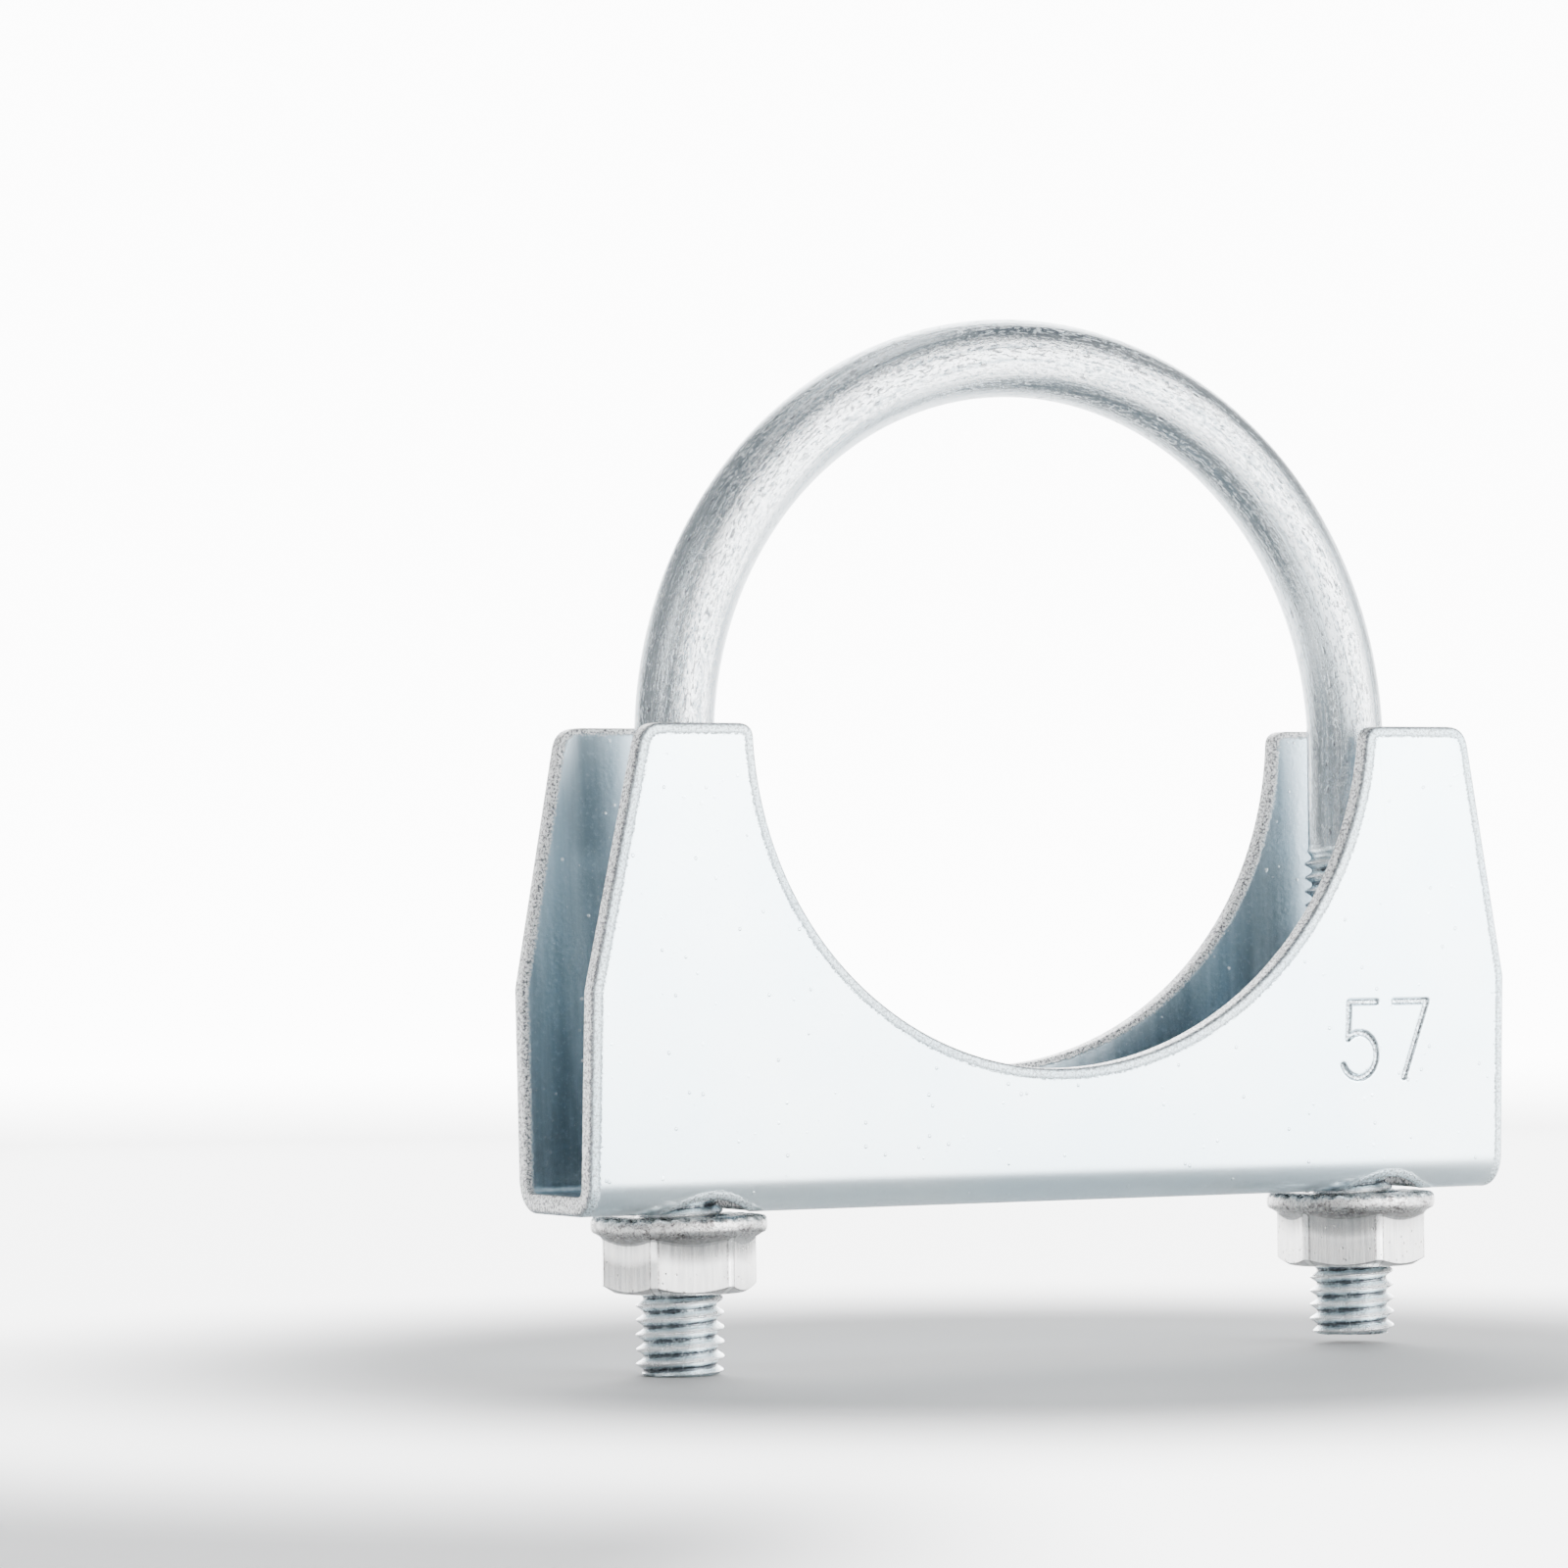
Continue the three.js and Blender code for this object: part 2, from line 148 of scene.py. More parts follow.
class Graph:
    """A material's or the world's node tree."""

    def __init__(self, tree: bpy.types.NodeTree) -> None:
        """Takes over a node tree and empties it.

        Args:
            tree: The tree to fill.
        """
        self.tree = tree
        tree.nodes.clear()

    def node(
        self,
        kind: str,
        settings: Mapping[str, Any] | None = None,
        sockets: Mapping[str | int, Any] | None = None,
    ) -> bpy.types.Node:
        """Adds a node, sets it up and joins its sockets.

        Args:
            kind: The node's type name.
            settings: Properties of the node.
            sockets: A value or a wire for each input, by its name or number.

        Returns:
            The new node.
        """
        made = self.tree.nodes.new(kind)
        for name, value in (settings or {}).items():
            setattr(made, name, value)
        for name, value in (sockets or {}).items():
            if isinstance(value, Wire):
                self.tree.links.new(value.socket, made.inputs[name])
            else:
                made.inputs[name].default_value = value
        return made

    def math(self, operation: str, first: Any, second: Any) -> Wire:
        """Adds a Math node.

        Args:
            operation: The node's operation.
            first: The first value or wire.
            second: The second value or wire.

        Returns:
            The result.
        """
        node = self.node("ShaderNodeMath", {"operation": operation}, {0: first, 1: second})
        return Wire(self, node.outputs[0])

    def vector(self, operation: str, sockets: Mapping[str | int, Any]) -> bpy.types.Node:
        """Adds a Vector Math node."""
        return self.node("ShaderNodeVectorMath", {"operation": operation}, sockets)

    def scaled(self, vector: Wire, scale: Sequence[float]) -> Wire:
        """Multiplies a vector by a scale along each axis."""
        return Wire(self, self.vector("MULTIPLY", {0: vector, 1: tuple(scale)}).outputs[0])

    def toward(self, place: Wire, direction: Sequence[float]) -> Wire:
        """How far a place lies in a direction."""
        return Wire(self, self.vector("DOT_PRODUCT", {0: place, 1: direction}).outputs["Value"])

    def mix(self, share: Wire | float, first: Any, second: Any) -> Wire:
        """Mixes two colours.

        Args:
            share: How much of the second colour shows, from 0 to 1.
            first: The first colour or wire.
            second: The second colour or wire.

        Returns:
            The mixed colour.
        """
        ends = [end if isinstance(end, Wire) else (*end, 1.0) for end in (first, second)]
        node = self.node(
            "ShaderNodeMix",
            {"data_type": "RGBA", "clamp_factor": True},
            {"Factor": share, 6: ends[0], 7: ends[1]},
        )
        return Wire(self, node.outputs[2])

    def attribute(self, name: str, output: str = "Vector") -> Wire:
        """Reads one of the piece's own attributes."""
        node = self.node("ShaderNodeAttribute", {"attribute_name": name})
        return Wire(self, node.outputs[output])

    def place(self) -> Wire:
        """The place on the piece, in millimetres."""
        node = self.node("ShaderNodeTexCoord")
        return self.scaled(Wire(self, node.outputs["Object"]), (1 / MM,) * 3)

    def clouds(self, vector: Wire, scale: float, detail: float = 3.0, rough: float = 0.5) -> Wire:
        """Soft noise around 0.5.

        Args:
            vector: The coordinates, in millimetres.
            scale: Cycles per millimetre.
            detail: How many finer layers are added.
            rough: How strong the finer layers are.

        Returns:
            The noise's value.
        """
        sockets = {"Vector": vector, "Scale": scale, "Detail": detail, "Roughness": rough}
        return Wire(self, self.node("ShaderNodeTexNoise", None, sockets).outputs[0])

    def parts(self, vector: Wire) -> tuple[Wire, Wire, Wire]:
        """Splits a vector into its three numbers."""
        node = self.node("ShaderNodeSeparateXYZ", None, {0: vector})
        return tuple(Wire(self, output) for output in node.outputs)

    def spots(self, vector: Wire, scale: float) -> Wire:
        """The distance from the nearest of many scattered points, in cells."""
        sockets = {"Vector": vector, "Scale": scale}
        return Wire(self, self.node("ShaderNodeTexVoronoi", None, sockets).outputs["Distance"])

    def relief(self, height: Wire, strength: float, depth: float) -> Wire:
        """A bumped normal.

        Args:
            height: The height, about 0 to 1.
            strength: How much of the relief shows.
            depth: The relief's depth in millimetres.

        Returns:
            The normal.
        """
        sockets = {"Strength": strength, "Distance": depth * MM, "Height": height}
        return Wire(self, self.node("ShaderNodeBump", None, sockets).outputs[0])

    def metal(self, colour: Wire, rough: Wire, normal: Wire) -> None:
        """Sends a bare metal surface to the output."""
        sockets = {"Base Color": colour, "Metallic": 1.0, "Roughness": rough, "Normal": normal}
        self.finish(self.node("ShaderNodeBsdfPrincipled", None, sockets))

    def finish(self, shader: bpy.types.Node) -> None:
        """Sends a surface shader to the output."""
        output = self.node("ShaderNodeOutputMaterial")
        self.tree.links.new(shader.outputs[0], output.inputs["Surface"])


def new_material(name: str) -> tuple[bpy.types.Material, Graph]:
    """Makes an empty node material.

    Args:
        name: The material's name.

    Returns:
        The material and its graph.
    """
    material = bpy.data.materials.new(name)
    material.use_nodes = True
    return material, Graph(material.node_tree)


# ---- Finishes -------------------------------------------------------------------------------


@dataclass(frozen=True)
class DrawnZinc:
    """Bright zinc over drawn round bar, with streaks, pits and scuffs, and a painted highlight in a band
    along the front and back of the bar.
    """

    bright: tuple[float, float, float] = (0.82, 0.85, 0.87)
    middle: tuple[float, float, float] = (0.49, 0.54, 0.57)
    grey: tuple[float, float, float] = (0.36, 0.41, 0.44)
    pit: tuple[float, float, float] = (0.09, 0.09, 0.10)

    def build(self) -> bpy.types.Material:
        """Makes the material, which follows the bar through its bend.

        Returns:
            The material.
        """
        material, graph = new_material("drawn_zinc")
        bar = graph.attribute("unbent")
        outward, _, _ = graph.parts(bar)
        lines = graph.clouds(graph.scaled(bar, (1.0, 1.0, 0.03)), 2.2, 4.0, 0.65)
        drift = graph.clouds(graph.scaled(bar, (1.0, 1.0, 0.06)), 0.30, 2.0)
        dashes = graph.clouds(graph.scaled(bar, (1.0, 1.0, 0.30)), 4.6, 3.0, 0.62)
        grain = graph.clouds(graph.scaled(bar, (1.0, 1.0, 0.55)), 3.4, 4.0, 0.72)
        scuffs = graph.spots(graph.scaled(bar, (1.0, 1.0, 0.35)), 0.9).step(0.15, 0.07)

        # The band along the front and back of the bar, where the bright streaks gather, is a painted
        # highlight; the band also gets more wear marks and relief.
        painted_highlight = (outward - (drift - 0.5) * 7.0).size().step(2.4, 0.6)
        streaked = (lines * 0.45 + grain * 0.55 + painted_highlight * 0.06).step(0.48, 0.58)
        worn = dashes.step(0.55, 0.63) * (painted_highlight * 0.5 + drift.step(0.40, 0.62))
        colour = graph.mix(lines.step(0.36, 0.64), self.grey, self.middle)
        # Bright streaks, shown mostly within the painted highlight band.
        colour = graph.mix(streaked * (0.15 + painted_highlight * 0.85), colour, self.bright)
        colour = graph.mix(worn * 0.40, colour, self.pit)
        colour = graph.mix(scuffs * 0.55, colour, self.pit)
        rough = 0.16 + streaked * 0.10 + worn * 0.18
        height = lines * 0.6 + grain * (0.4 + painted_highlight) - worn * 0.6 - scuffs * 0.6
        graph.metal(colour, rough, graph.relief(height, 0.9, 0.09))
        return material


@dataclass(frozen=True)
class RolledThreadZinc:
    """Bluish zinc on rolled threads: bright worn crests over roots darkened with painted shade and some dirt,
    with a few bruises.
    """

    crest: tuple[float, float, float] = (0.95, 0.97, 0.98)
    flank: tuple[float, float, float] = (0.62, 0.71, 0.75)
    # The roots' colour: painted shade in the thread's hollows, with some dirt; it also makes the dark specks.
    root: tuple[float, float, float] = (0.06, 0.07, 0.08)

    def build(self) -> bpy.types.Material:
        """Makes the material.

        Returns:
            The material.
        """
        material, graph = new_material("rolled_thread_zinc")
        place = graph.place()
        rise = graph.attribute("crest", "Fac")
        clouds = graph.clouds(place, 0.7, 3.0)
        grain = graph.clouds(place, 5.0, 3.0, 0.65)
        # Mostly the thread's height: its low end paints shade into the roots, its high end shows the worn
        # crests.
        worn = rise + (grain - 0.5) * 0.30 + (clouds - 0.5) * 0.3
        colour = graph.mix(worn.step(0.0, 0.18), self.root, self.flank)
        colour = graph.mix(worn.step(0.45, 0.90), colour, self.crest)
        colour = graph.mix(grain.step(0.62, 0.72) * 0.4, colour, self.root)
        rough = 0.20 + clouds.step(0.4, 0.7) * 0.12
        graph.metal(colour, rough, graph.relief(grain + clouds * 0.5, 0.6, 0.08))
        return material


@dataclass(frozen=True)
class ShearedSteel:
    """The torn end of a cropped bar, plated over."""

    light: tuple[float, float, float] = (0.82, 0.83, 0.84)
    dark: tuple[float, float, float] = (0.18, 0.18, 0.19)

    def build(self) -> bpy.types.Material:
        """Makes the material.

        Returns:
            The material.
        """
        material, graph = new_material("sheared_steel")
        place = graph.place()
        tears = graph.clouds(graph.scaled(place, (1.0, 0.3, 1.0)), 1.8, 4.0, 0.7)
        grain = graph.clouds(place, 7.0, 3.0, 0.65)
        colour = graph.mix((tears * 0.6 + grain * 0.4).step(0.35, 0.62), self.dark, self.light)
        graph.metal(colour, 0.38 + grain * 0.2, graph.relief(tears + grain * 0.5, 0.8, 0.2))
        return material


@dataclass(frozen=True)
class SheetZinc:
    """Blue-bright zinc on pressed sheet: satin faces, a hollow darkened with painted shade, and grainy
    sheared edges.
    """

    thickness: float
    face: tuple[float, float, float] = (0.84, 0.95, 0.99)
    face_tint: tuple[float, float, float] = (0.74, 0.89, 0.97)
    # The channel's inner faces are darker and bluer: painted shade of the hollow. The lighter one also
    # mottles the outer faces.
    hollow_light: tuple[float, float, float] = (0.51, 0.61, 0.67)
    hollow_dark: tuple[float, float, float] = (0.28, 0.36, 0.415)
    edge_light: tuple[float, float, float] = (0.80, 0.81, 0.81)
    edge_dark: tuple[float, float, float] = (0.15, 0.15, 0.16)

    def build(self) -> bpy.types.Material:
        """Makes the material, which follows the sheet as it lay before bending.

        Returns:
            The material.
        """
        material, graph = new_material("sheet_zinc")
        sheet = graph.attribute("unfolded")
        _, _, depth = graph.parts(sheet)
        inside = depth.step(0.55 * self.thickness, 0.95 * self.thickness)
        grain = graph.clouds(sheet, 4.2, 4.0, 0.72)
        fine = graph.clouds(sheet, 2.2, 4.0, 0.62)
        broad = graph.clouds(sheet, 0.05, 3.0)
        sheared = (graph.attribute("sheared", "Fac") + (grain - 0.5) * 1.3).step(0.18, 0.60)

        face = graph.mix(broad.step(0.35, 0.65), self.face, self.face_tint)
        face = graph.mix(fine.step(0.58, 0.72) * 0.16, face, self.hollow_light)
        bands = graph.clouds(graph.scaled(sheet, (1.0, 0.08, 1.0)), 0.30, 4.0, 0.62)
        # Painted shade inside the channel, in random bands, with mottle and bright specks over it.
        hollow = graph.mix(bands.step(0.32, 0.70), self.hollow_dark, self.hollow_light)
        hollow = graph.mix(fine.step(0.54, 0.68) * 0.45, hollow, self.hollow_light)
        hollow = graph.mix(grain.step(0.60, 0.72) * 0.35, hollow, self.edge_light)
        specks = graph.spots(sheet, 0.7).step(0.13, 0.07) * graph.clouds(sheet, 0.22).step(0.42, 0.56)
        hollow = graph.mix(specks * 0.85, hollow, self.edge_light)
        edge = graph.mix(grain.step(0.40, 0.56), self.edge_dark, self.edge_light)

        # The inner faces take the painted hollow shade.
        colour = graph.mix(inside, face, hollow)
        colour = graph.mix(sheared * grain.step(0.48, 0.57) * 0.62, colour, self.edge_dark)
        colour = graph.mix(sheared * (depth + (fine - 0.5) * 0.4).step(0.10, 0.40), colour, edge)
        # A dark grainy line along the rolled lip near the outer face: partly grain, partly a painted dark
        # reflection.
        lip = (depth + (fine - 0.5) * 0.2).step(0.04, 0.12) * (depth + (fine - 0.5) * 0.4).step(0.42, 0.26)
        colour = graph.mix(lip * grain.step(0.62, 0.46) * 0.9, colour, self.edge_dark)
        rough = 0.26 + fine * 0.06 + inside * 0.05 + sheared * (0.10 + grain * 0.12)
        height = fine * (0.06 + inside * 0.3) + specks * 0.6 + sheared * grain * 1.6
        graph.metal(colour, rough, graph.relief(height, 0.6, 0.12))
        return material


@dataclass(frozen=True)
class NutZinc:
    """Plain zinc on cold-formed nuts: satin flats drawn upright, a grainy flange rim, and at the hexagon's
    corners a painted highlight beside a painted dark line.
    """

    light: tuple[float, float, float] = (0.70, 0.70, 0.69)
    shade: tuple[float, float, float] = (0.52, 0.52, 0.52)
    warm: tuple[float, float, float] = (0.68, 0.65, 0.62)
    # The colour of the painted highlight on the hexagon's corners.
    painted_highlight: tuple[float, float, float] = (0.93, 0.93, 0.92)
    marks_and_painted_dark_line: tuple[float, float, float] = (0.16, 0.15, 0.15)

    def build(self) -> bpy.types.Material:
        """Makes the material.

        Returns:
            The material.
        """
        material, graph = new_material("nut_zinc")
        place = graph.place()
        flange = graph.attribute("flange", "Fac")
        arris = graph.attribute("arris", "Fac")
        draw = graph.clouds(graph.scaled(place, (1.0, 1.0, 0.06)), 3.4, 4.0, 0.6)
        clouds = graph.clouds(place, 0.7, 3.0)
        grain = graph.clouds(place, 4.2, 4.0, 0.7)
        patches = graph.clouds(graph.scaled(place, (1.0, 1.0, 1.6)), 0.75, 3.0, 0.6)
        pits = graph.spots(place, 1.5).step(0.17, 0.09) * clouds.step(0.42, 0.55)
        colour = graph.mix(draw.step(0.36, 0.64), self.shade, self.light)
        colour = graph.mix(clouds.step(0.4, 0.7) * 0.4, colour, self.warm)
        colour = graph.mix(pits * 0.7, colour, self.marks_and_painted_dark_line)
        rim = grain.step(0.54, 0.40) * 0.6 + patches.step(0.53, 0.60) * 0.6
        colour = graph.mix(flange * rim, colour, self.marks_and_painted_dark_line)
        # At the hexagon's corners: a grainy painted dark line beside each corner, then a painted highlight on
        # the corner itself.
        colour = graph.mix(arris.step(0.08, 0.22) * grain.step(0.62, 0.42) * 0.75, colour, self.marks_and_painted_dark_line)
        colour = graph.mix(arris.step(0.42, 0.62), colour, self.painted_highlight)
        rough = 0.15 + draw * 0.08 + flange * grain * 0.18
        height = draw * 0.3 - pits * 0.8 + flange * (grain * 0.7 + patches * 0.4)
        graph.metal(colour, rough, graph.relief(height, 0.6, 0.12))
        return material


@dataclass(frozen=True)
class StudioPaper:
    """The pale paper, lit with painted light: a glowing ring on the floor whose dark middle is a painted
    shadow under the clamp, a sector of painted shade on its left, and a glowing patch of wall behind the
    clamp.
    """

    colour: tuple[float, float, float] = (0.34, 0.345, 0.35)
    behind: tuple[float, float, float] = (0.467, 0.884, 0.0)
    pool_glow: float = 5.5
    pool: tuple[float, float, float, float] = (0.05, 0.125, 0.45, 1.0)
    dim_side: tuple[float, float, float] = (-0.996, -0.087, 0.0)
    dim_spread: tuple[float, float] = (0.52, 0.70)
    dim_reach: tuple[float, float] = (0.085, 0.17)
    dimmed: float = 0.92
    wall_glow: float = 11.0
    wall_reach: tuple[float, float] = (0.10, 1.15)
    wall_spread: tuple[float, float] = (0.88, 0.965)

    def build(self) -> bpy.types.Material:
        """Makes the material.

        Returns:
            The material.
        """
        material, graph = new_material("studio_paper")
        place = Wire(graph, graph.node("ShaderNodeTexCoord").outputs["Object"])
        flat = graph.scaled(place, (1.0, 1.0, 0.0))
        reach = Wire(graph, graph.vector("LENGTH", {0: flat}).outputs["Value"])
        back = graph.toward(place, self.behind)
        # The ring of floor glows: a painted pool of light, whose dark middle is a painted shadow under the
        # clamp.
        pool = reach.step(self.pool[0], self.pool[1]) * reach.step(self.pool[3], self.pool[2])
        sector = graph.math("DIVIDE", graph.toward(place, self.dim_side), reach)
        # Painted shade over a sector on the left.
        pool *= 1.0 - sector.step(*self.dim_spread) * reach.step(*self.dim_reach) * self.dimmed
        facing = graph.math("DIVIDE", back, reach)
        # A patch of wall behind the clamp glows with painted light.
        screen = facing.step(*self.wall_spread) * reach.step(*self.wall_reach) * self.wall_glow
        paper = graph.node(
            "ShaderNodeBsdfPrincipled",
            None,
            {
                "Base Color": (*self.colour, 1.0),
                "Roughness": 0.9,
                "Emission Color": (1.0, 1.0, 1.0, 1.0),
                "Emission Strength": graph.math("MAXIMUM", pool * self.pool_glow, screen),
            },
        )
        graph.finish(paper)
        material.cycles.emission_sampling = "NONE"
        return material


# ---- Mesh helpers ---------------------------------------------------------------------------


def whole(bm: bmesh.types.BMesh) -> list[Any]:
    """Everything in a mesh, as the cutting operators take it."""
    return [*bm.verts, *bm.edges, *bm.faces]


def only(kind: type, geom: Iterable[Any]) -> list[Any]:
    """The parts of one kind in an operator's result."""
    return [part for part in geom if isinstance(part, kind)]


def open_edges(bm: bmesh.types.BMesh, holds: Callable[[Vector], bool]) -> list[bmesh.types.BMEdge]:
    """The open edges whose ends both pass a test."""
    return [edge for edge in bm.edges if edge.is_boundary and all(holds(vert.co) for vert in edge.verts)]


def absorb(bm: bmesh.types.BMesh, other: bmesh.types.BMesh) -> None:
    """Adds one mesh to another and frees it.

    Args:
        bm: The mesh that grows.
        other: The mesh that is added.
    """
    carrier = bpy.data.meshes.new("carrier")
    other.to_mesh(carrier)
    other.free()
    bm.from_mesh(carrier)
    bpy.data.meshes.remove(carrier)


def smooth_ramp(value: float, low: float, high: float) -> float:
    """Rises smoothly from 0 at `low` to 1 at `high`."""
    share = min(1.0, max(0.0, (value - low) / (high - low)))
    return share * share * (3.0 - 2.0 * share)


def place_piece(
    bm: bmesh.types.BMesh,
    name: str,
    body: str,
    materials: Sequence[bpy.types.Material],
    crease: float = 38.0,
) -> bpy.types.Object:
    """Turns a finished mesh in millimetres into a piece that stands for its node.

    Args:
        bm: The mesh, which is freed.
        name: The piece's name.
        body: The body it rides on, which is also the node that it replaces.
        materials: The piece's materials, in the order of the faces' material numbers.
        crease: Edges sharper than this, in degrees, stay crisp.

    Returns:
        The piece.
    """
    bmesh.ops.scale(bm, vec=(MM,) * 3, verts=bm.verts)
    bmesh.ops.recalc_face_normals(bm, faces=bm.faces)
    for face in bm.faces:
        face.smooth = True
    for edge in bm.edges:
        edge.smooth = edge.calc_face_angle(0.0) < math.radians(crease)
    mesh = bpy.data.meshes.new(name)
    loose = sum(not edge.is_manifold for edge in bm.edges)
    bm.to_mesh(mesh)
    bm.free()
    for material in materials:
        mesh.materials.append(material)
    piece = bpy.data.objects.new(name, mesh)
    bpy.context.scene.collection.objects.link(piece)
    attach(piece, body)
    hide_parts(body)
    triangles = sum(len(polygon.vertices) - 2 for polygon in mesh.polygons)
    log.info("%s: %d triangles, %d open edges", name, triangles, loose)
    return piece


# ---- Thread ---------------------------------------------------------------------------------


@dataclass(frozen=True)
class ThreadForm:
    """A right-handed V thread about an upright axis, in millimetres.

    A crest passes through angle 0 at height 0, and then every pitch.
    """

    crest_radius: float
    root_radius: float
    pitch: float = 1.25
    steps: int = 48
    shape: tuple[tuple[float, float], ...] = (
        (0.0, 1.0), (0.045, 0.97), (0.10, 0.86), (0.32, 0.20), (0.40, 0.04), (0.5, 0.0),
    )

    def profile(self) -> list[tuple[float, float]]:
        """One pitch of the outline.

        Returns:
            Radius and height pairs, from the root below a crest to the root above it.
        """
        depth = self.crest_radius - self.root_radius
        rising = [(self.root_radius + depth * up, -share * self.pitch) for share, up in self.shape]
        falling = [(radius, -height) for radius, height in rising[1:]]
        return rising[::-1] + falling

    def tube(self, low: float, high: float) -> bmesh.types.BMesh:
        """Makes an open tube of thread, cut flat at both ends.

        Args:
            low: The height of the lower cut.
            high: The height of the upper cut.

        Returns:
            The tube, about the Z axis.
        """
        first = math.floor(low / self.pitch) - 1
        turns = math.ceil(high / self.pitch) + 1 - first
        bm = bmesh.new()
        start = first * self.pitch
        verts = [bm.verts.new((radius, 0.0, start + height)) for radius, height in self.profile()]
        edges = [bm.edges.new(pair) for pair in zip(verts, verts[1:])]
        bmesh.ops.spin(
            bm,
            geom=verts + edges,
            cent=(0.0, 0.0, 0.0),
            axis=Z_AXIS,
            dvec=(0.0, 0.0, self.pitch / self.steps),
            angle=2 * math.pi,
            steps=self.steps,
            use_merge=False,
            use_duplicate=False,
        )
        made = 1
        while made < turns:
            copy = bmesh.ops.duplicate(bm, geom=whole(bm))["geom"]
            verts = only(bmesh.types.BMVert, copy)
            bmesh.ops.translate(bm, vec=(0.0, 0.0, made * self.pitch), verts=verts)
            made *= 2
        bmesh.ops.remove_doubles(bm, verts=bm.verts, dist=0.01)
        for height, outward in ((low, -1.0), (high, 1.0)):
            bmesh.ops.bisect_plane(
                bm,
                geom=whole(bm),
                dist=CUT_SLACK,
                plane_co=(0.0, 0.0, height),
                plane_no=(0.0, 0.0, outward),
                clear_outer=True,
            )
        return bm


# ---- U-bolt ---------------------------------------------------------------------------------


@dataclass(frozen=True)
class RoundBarBolt:
    """The bent bar: a half-round bow and two legs with rolled threads and cropped ends."""

    bar_radius: float = 3.45
    bow_radius: float = LEG_OFFSET
    thread: ThreadForm = field(default_factory=lambda: ThreadForm(3.8, 3.15))
    thread_top: float = -9.0
    run_out: float = 1.6
    leg_ends: tuple[tuple[Side, float], ...] = ((Side.LEFT, -54.2), (Side.RIGHT, -53.4))
    end_chamfer: float = 0.55
    end_tear: float = 0.16
    tear_reach: float = 0.4
    tear_rings: tuple[float, ...] = (0.85, 0.78, 0.66, 0.45)
    joint_gap: float = 0.06
    sides: int = 64
    bow_steps: int = 150
    leg_steps: int = 6
    seam_angle: float = math.radians(-116.0)
    seam_width: float = math.radians(4.5)
    seam_depth: float = 0.20

    def build(self) -> bpy.types.Object:
        """Makes the whole U-bolt.

        Returns:
            The piece.
        """
        bm = self._bow()
        for side, end in self.leg_ends:
            absorb(bm, self._leg(side, end))
            self._join(bm, side)
            self._crop(bm, side, end)
        unbent = bm.verts.layers.float_vector.new("unbent")
        crest = bm.verts.layers.float.new("crest")
        for vert in bm.verts:
            vert[unbent] = place = self._unbent(vert.co)
            radius = math.hypot(place.x, place.y)
            # How high a point stands on the thread; the thread's finish uses it to paint shade into the
            # roots.
            vert[crest] = smooth_ramp(radius, self.thread.root_radius - 0.05, self.thread.crest_radius)
        threaded = self.thread_top - 0.1
        for face in bm.faces:
            if face.material_index == 0 and face.calc_center_median().z < threaded:
                face.material_index = 1
        materials = [DrawnZinc().build(), RolledThreadZinc().build(), ShearedSteel().build()]
        return place_piece(bm, "u_bolt_bar", "u_bolt", materials)

    def _bow(self) -> bmesh.types.BMesh:
        """The plain bar: up the left leg, round the bow and down the right leg, open at the ends."""
        bm = bmesh.new()
        start = Matrix.Translation((-self.bow_radius, 0.0, self.thread_top + self.joint_gap))
        ring = bmesh.ops.create_circle(bm, segments=self.sides, radius=self.bar_radius, matrix=start)
        geom = [*ring["verts"], *{edge for vert in ring["verts"] for edge in vert.link_edges}]
        geom = self._run_along(bm, geom, 1.0)
        spun = bmesh.ops.spin(
            bm,
            geom=geom,
            cent=(0.0, 0.0, 0.0),
            axis=(0.0, 1.0, 0.0),
            dvec=(0.0, 0.0, 0.0),
            angle=math.pi,
            steps=self.bow_steps,
            use_merge=False,
            use_duplicate=False,
        )
        self._run_along(bm, spun["geom_last"], -1.0)
        return bm

    def _run_along(self, bm: bmesh.types.BMesh, geom: Sequence[Any], upward: float) -> list[Any]:
        """Carries a ring of the bar along one leg between the thread and the bow.

        Args:
            bm: The mesh.
            geom: The ring's vertices and edges.
            upward: 1 to go up the leg, -1 to go down it.

        Returns:
            The last ring.
        """
        rise = -(self.thread_top + self.joint_gap) / self.leg_steps * upward
        for _ in range(self.leg_steps):
            edges = only(bmesh.types.BMEdge, geom)
            verts = only(bmesh.types.BMVert, bmesh.ops.extrude_edge_only(bm, edges=edges)["geom"])
            bmesh.ops.translate(bm, vec=(0.0, 0.0, rise), verts=verts)
            edges = {edge for vert in verts for edge in vert.link_edges}
            geom = [*verts, *(edge for edge in edges if all(end in set(verts) for end in edge.verts))]
        return geom

    def _leg(self, side: Side, end: float) -> bmesh.types.BMesh:
        """One threaded leg, open at both ends, with its run-out, seam and end chamfer."""
        bm = self.thread.tube(end, self.thread_top)
        for vert in bm.verts:
            radius = math.hypot(vert.co.x, vert.co.y)
            fade = smooth_ramp(vert.co.z, self.thread_top - self.run_out, self.thread_top - 0.02)
            target = radius + (self.bar_radius - radius) * fade
            angle = math.atan2(vert.co.y, vert.co.x)
            off = (angle - self.seam_angle + math.pi) % (2 * math.pi) - math.pi
            crest = (radius - self.thread.root_radius) / (self.thread.crest_radius - self.thread.root_radius)
            target -= self.seam_depth * crest * (1.0 - fade) * math.exp(-((off / self.seam_width) ** 2))
            cone = self.thread.crest_radius - self.end_chamfer + (vert.co.z - end)
            target = min(target, max(cone, self.thread.root_radius - 0.1))
            vert.co.x *= target / radius
            vert.co.y *= target / radius
        bmesh.ops.translate(bm, vec=(side.value * self.bow_radius, 0.0, 0.0), verts=bm.verts)
        return bm

